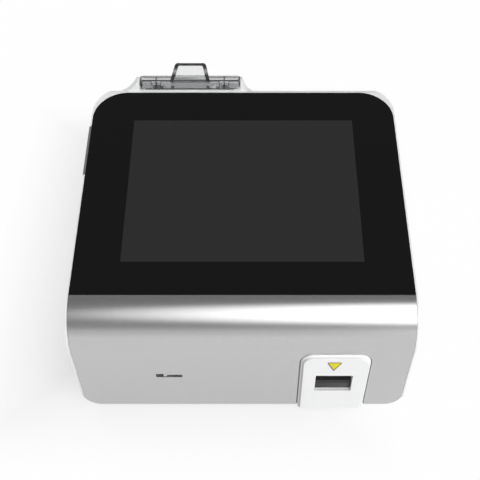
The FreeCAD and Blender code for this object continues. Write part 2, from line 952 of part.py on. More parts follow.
def make_housing():
    """Make the white case: a shell with a glass recess, a front rebate, the hump and its openings."""
    shell = cut(fuse(case_outside(), hump()), case_inside())
    recess = glass_form(d.seam, d.glass_thick, d.glass_thick + 1)
    rebate = cover_form(d.seam, "front_rebate")
    window_gap = d.fit_gap
    window = slope_box(
        -lcd_width / 2 - window_gap,
        lcd_front - window_gap,
        -d.glass_thick - d.case_wall * 2,
        lcd_width + 2 * window_gap,
        lcd_run + 2 * window_gap,
        d.case_wall * 2 + 1,
    )
    bay = box(
        d.lid_left - d.lid_gap,
        back_edge_y + d.lid_front - d.lid_gap,
        lid_low - d.lid_gap,
        d.lid_width + 2 * d.lid_gap,
        d.hump_crest + d.hump_radius + 4,
        d.lid_skirt + d.lid_gap + d.hump_rise,
    )
    front_depth = d.cover_wall + d.seam + d.case_wall + 2
    brow = slope_box(
        d.lid_left - d.lid_gap,
        d.glass_run + d.seam * 2,
        0,
        d.lid_width + 2 * d.lid_gap,
        d.lid_front + 1,
        d.hump_rise + 2,
    )
    holes = [
        recess,
        rebate,
        window,
        bay,
        brow,
        base_opening(d.seam, d.foot_gap - 1, d.case_wall + 2),
        sleeve_hole(d.front_y - 1, front_depth),
        chip_hole(d.front_y - 1, front_depth, d.fit_gap),
    ]
    shell = cut(shell, *holes, *rear_holes())
    boss = slope_box(
        -side + 1,
        d.port_start - d.port_boss_rim,
        d.port_top - d.port_height - d.port_boss_floor,
        d.port_boss + d.case_wall - 1,
        d.port_run + 2 * d.port_boss_rim,
        d.port_height + d.port_boss_floor + d.fit_gap * 6,
    )
    port_recess = slope_box(
        port_x - 1,
        d.port_start - d.port_gap,
        port_axis_n - d.port_axis_drop,
        d.port_thick + d.port_gap + 1,
        d.port_run + 2 * d.port_gap,
        d.port_axis_drop - port_axis_n + 1,
    )
    knuckle_room = slope_rod(
        port_axis_x,
        d.port_start - d.port_gap,
        port_axis_n,
        d.port_knuckle + d.port_gap,
        d.port_run + 2 * d.port_gap,
    )
    port_holes = [port_recess, knuckle_room, port_pin(d.run_gap)]
    for along in side_usb_places():
        port_holes.append(side_usb_block(along, d.fit_gap, d.port_boss + d.case_wall + 4))
    posts = []
    for x, y in plate_corners(d.post_inset):
        posts.append(rod(x, y, plate_top, d.post_radius, d.post_height))
        reach = side - d.case_wall / 2 - d.plate_margin / 2
        web_x = x if x.value > 0 else -reach - d.plate_margin / 4
        width = reach + d.plate_margin / 4 - (x if x.value > 0 else -x)
        posts.append(box(web_x, y - d.post_radius / 2, plate_top, width, d.post_radius, d.post_height))
    body = fuse(shell, boss, *posts, *lid_ears())
    bores = [lid_pin(x, d.run_gap) for x in lid_knuckle_places] + port_holes
    for x, y in plate_corners(d.post_inset):
        bores.append(rod(x, y, plate_top - 1, d.screw_shank_radius + d.run_gap, d.screw_shank_length + 1))
    return keep(cut(body, *bores, name="housing"), "main_housing")


def glass_form(gap, depth, height):
    """Make the glass's form in the slope's frame: square in front, round at the back."""
    half = d.glass_width / 2 + gap
    corner = d.glass_corner + gap
    run = d.glass_run + gap
    corners = [
        (-half, no_gap),
        (half, no_gap),
        (half, run - corner, corner),
        (half - corner, run),
        (-half + corner, run, corner),
        (-half, run - corner),
    ]
    body = extrude("XY_Plane", corners, height, "glass_form")
    return tilted(body, 0, 0, -depth)


def cover_form(gap, name):
    """Make the front cover's form: a bent panel round the nose, or its rebate when it gets a gap."""
    inside = d.front_y + d.cover_wall + gap
    radius = d.bull_radius - d.cover_wall - gap
    outside = d.front_y if gap is no_gap else d.front_y - 2
    floor = d.foot_gap if gap is no_gap else d.foot_gap - 2
    ring_y = d.front_y + d.bull_radius - radius * sin(d.tilt)
    ring_z = bull_center_z + radius * cos(d.tilt)
    if gap is no_gap:
        corners = [
            (outside, floor),
            (inside, floor),
            (inside, bull_center_z, -radius),
            (ring_y, ring_z),
            (slope_y, slope_z, d.bull_radius),
            (outside, bull_center_z),
        ]
    else:
        top_y, top_z = on_slope(size(0), size(3))
        corners = [
            (outside, floor),
            (inside, floor),
            (inside, bull_center_z, -radius),
            (ring_y, ring_z),
            (top_y, top_z),
            (outside, top_z),
        ]
    return extrude("YZ_Plane", corners, d.glass_width + 2 * gap, name, midplane=True)


def make_front_cover():
    """Make the silver front cover, with round lower corners, the bezel's seat and two openings."""
    body = cover_form(no_gap, "front_panel")

    def lower_corner(edge):
        return runs_along(edge, "y") and near(edge.CenterOfMass.z, d.foot_gap)

    dress(body, "Fillet", d.bottom_round - d.side_lip - d.seam, lower_corner)
    depth = d.cover_wall + 2
    seat = bezel_form(d.bezel_gap, d.bezel_top_gap, d.bezel_seat + 1, "bezel_seat")
    cover = cut(body, seat, sleeve_hole(d.front_y - 1, depth), chip_hole(d.front_y - 1, depth))
    return keep(cover, "front_cover")


def make_glass_and_display():
    """Make the touch glass, the display behind it, its bracket, board and screws."""
    keep(glass_form(no_gap, d.glass_thick, d.glass_thick), "touch_glass")
    panel_top = -d.glass_thick
    panel = slope_box(
        -lcd_width / 2, lcd_front, panel_top - d.lcd_thick, lcd_width, lcd_run, d.lcd_thick
    )
    keep(panel, "display_module")
    seat = panel_top - d.case_wall
    rim = d.bracket_rim
    pan_depth = d.lcd_thick - d.case_wall
    outer = slope_box(
        -lcd_width / 2 - rim,
        lcd_front - d.bracket_end_rim,
        seat - pan_depth - d.bracket_sheet,
        lcd_width + 2 * rim,
        lcd_run + 2 * d.bracket_end_rim,
        pan_depth + d.bracket_sheet,
    )
    room = slope_box(
        -lcd_width / 2 - d.fit_gap,
        lcd_front - d.fit_gap,
        seat - pan_depth,
        lcd_width + 2 * d.fit_gap,
        lcd_run + 2 * d.fit_gap,
        pan_depth + 1,
    )
    margin = rim * 2
    window = slope_box(
        -lcd_width / 2 + margin,
        lcd_front + margin,
        seat - pan_depth * 3,
        lcd_width - 2 * margin,
        (lcd_run - 3 * margin) / 2,
        pan_depth * 4,
    )
    window_behind = slope_box(
        -lcd_width / 2 + margin,
        lcd_front + (lcd_run + margin) / 2,
        seat - pan_depth * 3,
        lcd_width - 2 * margin,
        (lcd_run - 3 * margin) / 2,
        pan_depth * 4,
    )
    holes = []
    screws = []
    pan_floor = seat - pan_depth - d.bracket_sheet
    bore = d.board_screw_radius + d.run_gap
    head_floor = pan_floor - d.board_head_height
    for x in (-lcd_width / 2 - rim / 2, lcd_width / 2 + rim / 2):
        for along in (lcd_front + rim, lcd_front + lcd_run - rim):
            holes.append(slope_rod(x, along, pan_floor - 1, bore, d.lcd_thick + 2, "N"))
            shank = slope_rod(
                x, along, pan_floor, d.board_screw_radius, pan_depth + d.bracket_sheet, "N"
            )
            head = slope_rod(x, along, head_floor, d.board_head_radius, d.board_head_height, "N")
            screws.append(fuse(shank, head))
    keep(cut(outer, room, window, window_behind, *holes), "display_bracket")
    keep(group(*screws), "display_screws")
    board_top = pan_floor - d.display_spacer
    middle = lcd_front + lcd_run / 2
    board = slope_box(
        -d.display_board_width / 2,
        middle - d.display_board_run / 2,
        board_top - d.display_board_thick,
        d.display_board_width,
        d.display_board_run,
        d.display_board_thick,
    )
    spacers = []
    spacer_x = d.display_board_width / 2 - d.display_spacer_inset
    for x in (-spacer_x, spacer_x):
        spacers.append(slope_rod(x, middle, board_top, d.standoff_radius, d.display_spacer, "N"))
    keep(fuse(board, *spacers), "display_board")


def bezel_form(gap, top_gap, depth, name):
    """Make the bezel's form, grown by gaps, from the floor of its seat forwards."""
    half = d.bezel_width / 2 + gap
    corner = d.bezel_corner + gap
    top = d.bezel_top + top_gap
    bottom = d.bezel_bottom - gap
    form = extrude(
        "XZ_Plane",
        [
            (bezel_center - half, bottom),
            (bezel_center + half, bottom),
            (bezel_center + half, top - corner, corner),
            (bezel_center + half - corner, top),
            (bezel_center - half + corner, top, corner),
            (bezel_center - half, top - corner),
        ],
        depth,
        name,
    )
    return place(form, 0, d.front_y + d.bezel_seat)


def make_bezel():
    """Make the cartridge bezel: a bevelled plate in the cover's seat, with a sleeve through it."""
    thick = d.bezel_proud + d.bezel_seat
    body = bezel_form(no_gap, no_gap, thick, "bezel")

    def face_rim(edge):
        middle = edge.CenterOfMass
        return near(middle.y, -thick) and middle.z > d.bezel_bottom.value + 1

    dress(body, "Chamfer", d.bezel_bevel, face_rim)
    sleeve = box(
        slot_left - d.sleeve_wall,
        d.front_y - d.bezel_proud / 2,
        d.slot_floor - d.sleeve_wall,
        d.slot_width + 2 * d.sleeve_wall,
        d.sleeve_depth + d.bezel_proud / 2,
        d.slot_height + 2 * d.sleeve_wall,
    )
    slot = box(
        slot_left,
        d.front_y - d.bezel_proud - 1,
        d.slot_floor,
        d.slot_width,
        d.sleeve_depth + d.bezel_proud + 2,
        d.slot_height,
    )
    keep(cut(fuse(body, sleeve), slot), "cartridge_bezel")


tray_front = d.front_y - d.bezel_proud + d.tray_nose
chassis_front = d.front_y + d.sleeve_depth + d.chassis_front_gap
tray_back = chassis_front + d.chassis_sheet + d.travel_stop + d.tray_travel + d.tray_block_length
tray_length = tray_back - tray_front
tray_floor = d.slot_floor + d.tray_floor_gap
chassis_back = tray_back + d.chassis_back_gap + d.chassis_sheet
chassis_length = chassis_back - chassis_front


def make_tray():
    """Make the cartridge tray and its carriage, which rides on two rods and is drawn by a nut."""
    width = d.slot_width - 2 * d.tray_side_gap
    left = bezel_center - width / 2
    deck = box(left, tray_front, tray_floor, width, tray_length, d.tray_height)
    block = box(
        left,
        tray_back - d.tray_block_length,
        d.tray_block_floor,
        width,
        d.tray_block_length,
        tray_floor - d.tray_block_floor,
    )
    sensor_middle = bezel_center - d.chassis_width / 2 + d.chassis_sheet + d.sensor_width / 2
    blade_x = sensor_middle - d.flag_thick / 2
    sensor_top = d.chassis_floor + d.chassis_sheet + d.sensor_height
    blade_floor = sensor_top - d.sensor_height / 2
    blade_back = tray_back - d.fit_gap
    blade = box(
        blade_x,
        blade_back - d.tray_block_length / 2,
        blade_floor,
        d.flag_thick,
        d.tray_block_length / 2,
        tray_floor - blade_floor,
    )
    arm = box(
        blade_x,
        blade_back - d.tray_block_length / 2,
        tray_floor - d.flag_thick * 2,
        left + 1 - blade_x,
        d.tray_block_length / 2,
        d.flag_thick * 2,
    )
    top = tray_floor + d.tray_height
    pocket = box(
        bezel_center - d.tray_pocket_width / 2,
        tray_front + d.tray_pocket_start,
        top - d.tray_pocket_depth,
        d.tray_pocket_width,
        d.tray_pocket_length,
        d.tray_pocket_depth + 1,
    )
    bores = []
    for x in (bezel_center - d.rod_spread, bezel_center + d.rod_spread):
        bores.append(
            rod(
                x,
                tray_back - d.tray_block_length - 1,
                d.rod_height,
                d.rod_radius + d.run_gap,
                d.tray_block_length + 2,
                "Y",
            )
        )
    bores.append(
        rod(
            bezel_center,
            tray_back - d.tray_block_length - 1,
            d.rod_height,
            d.nut_radius - d.nut_step + d.run_gap,
            d.tray_block_length + 2,
            "Y",
        )
    )
    keep(cut(deck, pocket), "cartridge_tray")
    keep(cut(fuse(block, blade, arm), *bores), "tray_carriage")
    body = rod(
        bezel_center,
        tray_back - d.tray_block_length,
        d.rod_height,
        d.nut_radius - d.nut_step,
        d.nut_length,
        "Y",
    )
    flange = rod(
        bezel_center,
        tray_back - d.tray_block_length - d.nut_flange,
        d.rod_height,
        d.nut_radius,
        d.nut_flange,
        "Y",
    )
    bore = rod(
        bezel_center,
        tray_back - d.tray_block_length - d.nut_flange - 1,
        d.rod_height,
        d.screw_radius + d.run_gap,
        d.nut_length + 4,
        "Y",
    )
    keep(cut(fuse(body, flange), bore), "tray_nut")


def make_chassis():
    """Make the tray's chassis with its rods, lead screw, motor and position sensor."""
    left = bezel_center - d.chassis_width / 2
    sheet_thick = d.chassis_sheet
    floor = d.chassis_floor
    tray = box(left, chassis_front, floor, d.chassis_width, chassis_length, sheet_thick)
    walls = []
    for x in (left, left + d.chassis_width - sheet_thick):
        walls.append(
            box(x, chassis_front, floor, sheet_thick, chassis_length, d.chassis_wall_height - floor)
        )
    front = box(
        left, chassis_front, floor, d.chassis_width, sheet_thick, d.chassis_front_height - floor
    )
    back = box(
        left,
        chassis_back - sheet_thick,
        floor,
        d.chassis_width,
        sheet_thick,
        d.chassis_wall_height - floor,
    )
    legs = []
    inset = d.chassis_leg_inset
    for x in (left + inset, left + d.chassis_width - inset):
        for y in (chassis_front + d.chassis_leg_step, chassis_back - d.chassis_leg_step):
            legs.append(rod(x, y, plate_top, d.standoff_radius, floor - plate_top))
    bores = []
    rods = []
    for x in (bezel_center - d.rod_spread, bezel_center + d.rod_spread):
        bores.append(
            rod(x, chassis_front - 1, d.rod_height, d.rod_radius + d.run_gap, chassis_length + 2, "Y")
        )
        rods.append(rod(x, chassis_front, d.rod_height, d.rod_radius, chassis_length, "Y"))
    bores.append(
        rod(
            bezel_center,
            chassis_front - 1,
            d.rod_height,
            d.screw_shaft_radius + d.run_gap,
            chassis_length + 2,
            "Y",
        )
    )
    keep(cut(fuse(tray, *walls, front, back, *legs), *bores), "tray_chassis")
    keep(group(*rods), "guide_rods")
    thread = rod(
        bezel_center,
        chassis_front + sheet_thick + d.fit_gap,
        d.rod_height,
        d.screw_radius,
        chassis_length - 2 * (sheet_thick + d.fit_gap),
        "Y",
    )
    shaft = rod(
        bezel_center,
        chassis_front,
        d.rod_height,
        d.screw_shaft_radius,
        chassis_length + d.screw_shaft_length,
        "Y",
    )
    keep(fuse(thread, shaft), "lead_screw")
    case = box(
        bezel_center - d.motor_size / 2,
        chassis_back,
        d.rod_height - d.motor_size / 2,
        d.motor_size,
        d.motor_length,
        d.motor_size,
    )
    hollow = rod(
        bezel_center,
        chassis_back - 1,
        d.rod_height,
        d.screw_shaft_radius + d.run_gap,
        d.screw_shaft_length + 2,
        "Y",
    )
    keep(cut(case, hollow), "tray_motor")
    sensor_x = left + sheet_thick
    sensor = box(
        sensor_x,
        chassis_back - sheet_thick - d.sensor_length,
        floor + sheet_thick,
        d.sensor_width,
        d.sensor_length,
        d.sensor_height,
    )
    slit = box(
        sensor_x + (d.sensor_width - d.sensor_slit) / 2,
        chassis_back - sheet_thick - d.sensor_length - 1,
        floor + sheet_thick + d.sensor_height / 3,
        d.sensor_slit,
        d.sensor_length + 2,
        d.sensor_height,
    )
    keep(cut(sensor, slit), "position_sensor")


def make_optics():
    """Make the reading head over the tray: block, lens, lamp, filter and detector board."""
    left = bezel_center - d.optics_width / 2
    front = chassis_front + d.optics_start
    floor = d.chassis_wall_height
    middle = front + d.optics_length / 2
    block = box(left, front, floor, d.optics_width, d.optics_length, d.optics_height)
    barrel = d.lens_radius + d.run_gap
    lens_bore = rod(bezel_center, middle, floor - 1, barrel, d.lens_length + 1)
    step = rod(bezel_center, middle, floor, d.lens_radius - d.lens_ledge, d.optics_height + 1)
    filter_floor = floor + d.optics_height - d.filter_thick
    seat = d.filter_radius + d.run_gap
    filter_seat = rod(bezel_center, middle, filter_floor, seat, d.filter_thick + 1)
    lamp_z = floor + d.optics_height / 2 + d.led_rise
    lamp_fit = d.led_radius + d.run_gap
    lamp_bore = rod(bezel_center, front - 1, lamp_z, lamp_fit, d.optics_length / 2 + 1, "Y")
    keep(cut(block, lens_bore, step, filter_seat, lamp_bore), "optics_block")
    keep(rod(bezel_center, middle, floor, d.lens_radius, d.lens_length), "objective_lens")
    keep(rod(bezel_center, middle, filter_floor, d.filter_radius, d.filter_thick), "emission_filter")
    bulb = rod(bezel_center, front, lamp_z, d.led_radius, d.led_length, "Y")
    lamp_board = box(
        bezel_center - d.optics_width / 4,
        front - d.board_thick,
        lamp_z - d.optics_width / 4,
        d.optics_width / 2,
        d.board_thick,
        d.optics_width / 2,
    )
    keep(fuse(bulb, lamp_board), "excitation_led")
    roof = floor + d.optics_height
    board = box(left, front, roof, d.optics_width, d.optics_length, d.board_thick)
    shield = box(
        left + d.shield_side,
        front + d.shield_end,
        roof + d.board_thick,
        d.optics_width - 2 * d.shield_side,
        d.optics_length - 2 * d.shield_end,
        d.shield_rise,
    )
    keep(fuse(board, shield), "detector_board")


def make_chip_reader():
    """Make the chip socket behind the keyed slot, and the small board that carries it."""
    margin = d.chip_body_margin
    block = box(
        chip_left - margin,
        front_inside,
        d.chip_top - d.chip_height - margin,
        d.chip_width + 2 * margin,
        d.chip_body_depth,
        d.chip_height + 2 * margin,
    )
    keep(cut(block, chip_hole(front_inside - 1, d.chip_body_depth, d.fit_gap)), "chip_socket")
    middle = chip_left + d.chip_width / 2
    board = box(
        middle - d.chip_board_width / 2,
        front_inside + d.chip_body_depth,
        d.chip_top - d.chip_board_height / 2,
        d.chip_board_width,
        d.board_thick,
        d.chip_board_height,
    )
    keep(board, "chip_board")


def make_base():
    """Make the base plate with its feet and screws."""
    plate = base_opening(no_gap, d.foot_gap, d.plate_thick)
    holes = []
    screws = []
    for x, y in plate_corners(d.post_inset):
        holes.append(rod(x, y, d.foot_gap - 1, d.screw_shank_radius + d.run_gap, d.plate_thick + 2))
        holes.append(rod(x, y, d.foot_gap - 1, d.screw_head_radius + d.seam, d.screw_head_height + 1))
        head = rod(x, y, d.foot_gap, d.screw_head_radius, d.screw_head_height)
        shank = rod(x, y, d.foot_gap, d.screw_shank_radius, d.screw_shank_length)
        screws.append(fuse(head, shank))
    feet = []
    for x, y in plate_corners(d.foot_inset):
        holes.append(rod(x, y, d.foot_gap - 1, d.foot_radius + d.seam, d.foot_recess + 1))
        feet.append(rod(x, y, 0, d.foot_radius, d.foot_gap + d.foot_recess))
    for ring, count in ((0.35, 6), (0.75, 12)):
        for index in range(count):
            angle = 2 * math.pi * index / count
            x = speaker_x + d.speaker_radius * (ring * math.cos(angle))
            y = speaker_y + d.speaker_radius * (ring * math.sin(angle))
            holes.append(rod(x, y, d.foot_gap - 1, d.speaker_hole, d.plate_thick + 2))
    standoffs = []
    for x, y in main_board_holes():
        standoffs.append(rod(x, y, plate_top, d.standoff_radius, d.standoff_height))
    for x, y in io_board_holes():
        standoffs.append(rod(x, y, plate_top, d.standoff_radius, d.io_height))
    keep(cut(fuse(plate, *standoffs), *holes), "base_plate")
    keep(group(*feet), "rubber_feet")
    keep(group(*screws), "base_screws")
    keep(
        rod(speaker_x, speaker_y, plate_top, d.speaker_radius, d.speaker_height),
        "speaker",
    )


def main_board_holes():
    """Give the four places where the main board is screwed down."""
    inset = d.board_hole_inset
    for x in (main_board_left + inset, main_board_left + d.main_board_width - inset):
        for y in (main_board_front + inset, main_board_front + main_board_depth - inset):
            yield x, y


def io_board_holes():
    """Give the two places where the input and output board is screwed down."""
    y = rear_y - d.case_wall - d.io_depth + d.board_hole_inset
    for x in (io_left + d.board_hole_inset, io_left + d.io_width - d.board_hole_inset):
        yield x, y


def make_boards():
    """Make the main board, the input and output board and the screws that hold them."""
    board_z = plate_top + d.standoff_height
    board = box(
        main_board_left, main_board_front, board_z, d.main_board_width, main_board_depth, d.board_thick
    )
    top = board_z + d.board_thick
    processor = box(
        main_board_left + d.processor_left,
        main_board_front + d.processor_front,
        top,
        d.processor_size,
        d.processor_size,
        d.processor_rise,
    )
    memory = box(
        main_board_left + d.memory_left,
        main_board_front + d.memory_front,
        top,
        d.memory_width,
        d.memory_depth,
        d.memory_rise,
    )
    header = box(
        main_board_left + d.header_left,
        main_board_front + d.header_front,
        top,
        d.header_width,
        d.header_size,
        d.header_size,
    )
    keep(fuse(board, processor, memory, header), "main_board")
    heads = [
        rod(x, y, top, d.board_head_radius, d.board_head_height) for x, y in main_board_holes()
    ]
    io_front = rear_y - d.case_wall - d.io_depth
    keep(
        box(io_left, io_front, io_floor, d.io_width, d.io_depth - d.fit_gap, d.board_thick),
        "io_board",
    )
    heads += [
        rod(x, y, io_top, d.board_head_radius, d.board_head_height) for x, y in io_board_holes()
    ]
    keep(group(*heads), "board_screws")


def socket(center, floor, width, height, depth, wall, mouth):
    """Make a box-shaped socket that looks out of the rear wall, hollow from the back."""
    back = rear_y + d.socket_proud
    shell = box(center - width / 2, back - depth, floor, width, depth, height)
    hollow = box(
        center - width / 2 + wall,
        back - mouth,
        floor + wall,
        width - 2 * wall,
        mouth + 1,
        height - 2 * wall,
    )
    return cut(shell, hollow)


def make_rear_sockets():
    """Make the network, serial and USB sockets."""
    network = socket(
        lan_center, io_top, d.lan_width, d.lan_height, d.lan_depth, d.lan_wall, d.lan_mouth
    )
    keep(network, "lan_socket")
    wall = d.usb_wall
    lower, upper = [
        socket(
            usb_center, io_top + rise, d.usb_width, d.usb_height, d.usb_depth, wall, d.usb_mouth
        )
        for rise in (size(0), d.usb_shelf)
    ]
    back = rear_y - d.case_wall
    carrier = box(
        usb_center - d.usb_width / 2,
        rear_y + d.socket_proud - d.usb_depth,
        io_top,
        d.usb_width,
        d.usb_depth - d.case_wall - d.socket_proud - d.fit_gap,
        d.usb_shelf,
    )
    tongues = [
        box(
            usb_center - d.usb_width / 2 + tongue_side,
            rear_y + d.socket_proud - d.usb_mouth - 1,
            io_top + rise + tongue_floor,
            d.usb_width - 2 * tongue_side,
            d.usb_tongue_length,
            d.usb_tongue_thick,
        )
        for rise in (size(0), d.usb_shelf)
    ]
    hollow = box(
        usb_center - d.usb_width / 2 + wall,
        rear_y + d.socket_proud - d.usb_mouth,
        io_top + wall,
        d.usb_width - 2 * wall,
        d.usb_mouth + 1,
        d.usb_height - 2 * wall,
    )
    keep(fuse(cut(fuse(lower, carrier), hollow), upper, *tongues), "rear_usb_sockets")
    body = box(
        serial_center - d.serial_width / 2,
        back - d.fit_gap - d.serial_depth,
        io_top,
        d.serial_width,
        d.serial_depth,
        d.serial_height,
    )
    shell_z = io_top + (d.serial_height - d.serial_shell_height) / 2
    shell_y = back - d.fit_gap - 1
    shell_length = rear_y + d.serial_shell_length - shell_y
    shell = box(
        serial_center - d.serial_shell_width / 2,
        shell_y,
        shell_z,
        d.serial_shell_width,
        shell_length,
        d.serial_shell_height,
    )
    mouth = box(
        serial_center - d.serial_shell_width / 2 + d.serial_wall,
        shell_y,
        shell_z + d.serial_wall,
        d.serial_shell_width - 2 * d.serial_wall,
        shell_length + 1,
        d.serial_shell_height - 2 * d.serial_wall,
    )
    pins = []
    for count, rise in ((5, 0.66), (4, 0.34)):
        for index in range(count):
            x = serial_center + d.pin_pitch * (index - (count - 1) / 2)
            z = shell_z + d.serial_shell_height * rise
            pins.append(rod(x, shell_y - 1, z, d.pin_radius, shell_length - 1, "Y"))
    keep(fuse(cut(fuse(body, shell), mouth), *pins), "serial_socket")


def make_power_entry():
    """Make the DC inlet and the rocker switch in its frame."""
    front = rear_y - d.inlet_depth
    length = d.inlet_depth + d.inlet_step
    flange = rod(inlet_x, rear_y, d.inlet_z, d.inlet_flange, d.inlet_flange_thick, "Y")
    barrel = rod(inlet_x, front, d.inlet_z, d.inlet_radius, length, "Y")
    bore = rod(inlet_x, front + d.inlet_floor, d.inlet_z, d.inlet_bore, d.inlet_depth, "Y")
    pin_length = d.inlet_depth - 2 * d.inlet_pin_back
    pin = rod(inlet_x, front + d.inlet_pin_back, d.inlet_z, d.inlet_pin, pin_length, "Y")
    keep(fuse(cut(fuse(flange, barrel), bore), pin), "dc_inlet")
    half_x = d.power_width / 2
    half_z = d.power_height / 2
    rim = box(
        power_x - half_x - d.power_flange,
        rear_y,
        d.power_z - half_z - d.power_flange,
        d.power_width + 2 * d.power_flange,
        d.power_flange_thick,
        d.power_height + 2 * d.power_flange,
    )
    case = box(
        power_x - half_x,
        rear_y - d.power_depth,
        d.power_z - half_z,
        d.power_width,
        d.power_depth + d.inlet_step,
        d.power_height,
    )
    wall = d.power_wall
    hollow = box(
        power_x - half_x + wall,
        rear_y - d.power_depth + d.power_floor,
        d.power_z - half_z + wall,
        d.power_width - 2 * wall,
        d.power_depth + 2,
        d.power_height - 2 * wall,
    )
    axis_y = rear_y - d.rocker_pivot + d.power_flange_thick
    axle_fit = d.rocker_axle + d.run_gap
    axle_bore = rod(power_x - half_x - 1, axis_y, d.power_z, axle_fit, d.power_width + 2, "X")
    keep(cut(fuse(rim, case), hollow, axle_bore), "power_switch_frame")
    reach = d.rocker_half
    rise = d.rocker_thick
    body = extrude(
        "YZ_Plane",
        [
            (-d.rocker_root, -d.rocker_root_half),
            (-d.rocker_root, d.rocker_root_half),
            (d.rocker_edge, reach),
            (rise, reach),
            (rise * 0.72, 0),
            (rise, -reach),
            (d.rocker_edge, -reach),
        ],
        d.power_width - 2 * (wall + d.fit_gap),
        "rocker",
        midplane=True,
    )
    axle = rod(-half_x + d.seam / 2, 0, 0, d.rocker_axle, d.power_width - d.seam, "X")
    rocker = fuse(body, axle)
    turn(rocker, (1, 0, 0), -d.rocker_tilt)
    place(rocker, power_x, axis_y, d.power_z)
    keep(rocker, "power_rocker")


def side_usb_places():
    """Give where the two side USB sockets are centred along the slope."""
    middle = d.port_start + d.port_run / 2
    return middle - d.port_usb_spread / 2, middle + d.port_usb_spread / 2


side_usb_n = d.port_top - d.port_height / 2


def side_usb_block(along, gap, depth):
    """Make a side USB socket's outer form, or the hole for it."""
    return slope_box(
        port_x + d.port_thick + d.port_gap + d.port_usb_gap - gap * 3,
        along - d.usb_width / 2 - gap,
        side_usb_n - d.usb_height / 2 - gap,
        depth,
        d.usb_width + 2 * gap,
        d.usb_height + 2 * gap,
    )


def make_side_port():
    """Make the side USB sockets, their board, the flap that covers them and its pin."""
    start_x = port_x + d.port_thick + d.port_gap + d.port_usb_gap
    depth = d.usb_depth
    sockets = []
    for along in side_usb_places():
        hollow = slope_box(
            start_x - 1,
            along - d.usb_width / 2 + d.usb_wall,
            side_usb_n - d.usb_height / 2 + d.usb_wall,
            d.usb_mouth + 1,
            d.usb_width - 2 * d.usb_wall,
            d.usb_height - 2 * d.usb_wall,
        )
        tongue = slope_box(
            start_x + d.usb_tongue_inset,
            along - d.usb_width / 2 + tongue_side,
            side_usb_n - d.usb_height / 2 + tongue_floor,
            d.usb_tongue_length,
            d.usb_width - 2 * tongue_side,
            d.usb_tongue_thick,
        )
        sockets.append(fuse(cut(side_usb_block(along, no_gap, depth), hollow), tongue))
    keep(group(*sockets), "side_usb_sockets")
    board = slope_box(
        -side + d.port_boss + d.case_wall + d.fit_gap,
        d.port_start,
        side_usb_n - d.usb_height / 2 - d.board_thick,
        start_x + depth + side - d.port_boss - d.case_wall + d.port_pin_reach,
        d.port_run,
        d.board_thick,
    )
    keep(board, "side_port_board")
    plate = slope_box(
        port_x,
        d.port_start,
        port_axis_n,
        d.port_thick,
        d.port_run,
        -d.port_rim_drop - port_axis_n,
    )
    knuckle = slope_rod(port_axis_x, d.port_start, port_axis_n, d.port_knuckle, d.port_run)
    bore = port_pin(d.run_gap)
    keep(cut(fuse(plate, knuckle), bore), "side_port_cover")
    keep(port_pin(no_gap), "port_cover_pin")


def make_printer_lid():
    """Make the clear lid over the printer: a bent shell with closed ends, a pull tab and knuckles."""

    y = back_edge_y
    z = back_edge_z
    sheet_thick = d.lid_sheet
    lip = d.lid_lip_rise - sheet_thick / 4
    hood = extrude(
        "YZ_Plane",
        [
            (y + d.lid_front, z + d.lid_lip_rise),
            (y + d.lid_front + sheet_thick, z + lip),
            (y + d.lid_fold + sheet_thick * 0.6, z + d.lid_rise - sheet_thick),
            (y + d.lid_crest - sheet_thick * 0.4, z + d.lid_rise - sheet_thick),
            (lid_back - sheet_thick, z - d.lid_back_fold - sheet_thick / 4),
            (lid_back - sheet_thick, lid_low),
            (lid_back, lid_low),
            (lid_back, z - d.lid_back_fold),
            (y + d.lid_crest, z + d.lid_rise),
            (y + d.lid_fold, z + d.lid_rise),
        ],
        d.lid_width,
        "lid_hood",
    )
    place(hood, d.lid_left)
    ends = []
    for x in (d.lid_left, lid_right - sheet_thick):
        end = extrude(
            "YZ_Plane",
            [
                (y + d.lid_front + sheet_thick, z + lip),
                (lid_back - d.lid_end_depth, z - d.lid_end_drop),
                (lid_back - d.lid_end_depth, lid_low),
                (lid_back - sheet_thick / 2, lid_low),
                (lid_back - sheet_thick / 2, z - d.lid_back_fold),
                (y + d.lid_crest, z + d.lid_rise - sheet_thick / 2),
                (y + d.lid_fold, z + d.lid_rise - sheet_thick / 2),
            ],
            sheet_thick,
            "lid_end",
        )
        ends.append(place(end, x))
    outer_ends = (d.lid_left.value, lid_right.value)
    crown = (z - d.lid_back_fold).value

    def end_rim(edge):
        reach = edge.BoundBox
        at_end = any(near(reach.XMin, x) and near(reach.XMax, x) for x in outer_ends)
        high = reach.ZMin > crown - 0.1 and reach.ZMax > z.value + 1
        return at_end and high and not runs_along(edge, "x")

    shell = bevel_edges(fuse(hood, *ends), d.lid_chamfer, end_rim)
    knuckles = []
    bores = []
    for x in lid_knuckle_places:
        knuckles.append(
            rod(
                x - d.lid_knuckle_width / 2,
                lid_axis_y,
                lid_axis_z,
                d.lid_knuckle_radius,
                d.lid_knuckle_width,
                "X",
            )
        )
        knuckles.append(
            box(
                x - d.lid_knuckle_width / 2,
                lid_axis_y,
                lid_axis_z,
                d.lid_knuckle_width,
                d.lid_knuckle_radius,
                z + d.lid_rise - sheet_thick / 2 - lid_axis_z,
            )
        )
        bores.append(lid_pin(x, d.run_gap))
        slot_width = d.lid_knuckle_width + 2 * (d.seam * 2 + d.lid_ear_width)
        ear_room = box(
            x - slot_width / 2,
            y + d.lid_front - 1,
            z - 3,
            slot_width,
            d.lid_knuckle_radius * 2 + 1.2,
            lid_axis_z + d.lid_knuckle_radius + d.fit_gap - z + 3,
        )
        shell = cut(shell, ear_room)
    tab = make_tab()
    lid = cut(fuse(shell, *knuckles, tab), *bores)
    keep(lid, "printer_cover")
    pins = [lid_pin(x, no_gap) for x in lid_knuckle_places]
    keep(group(*pins), "cover_hinge_pins")


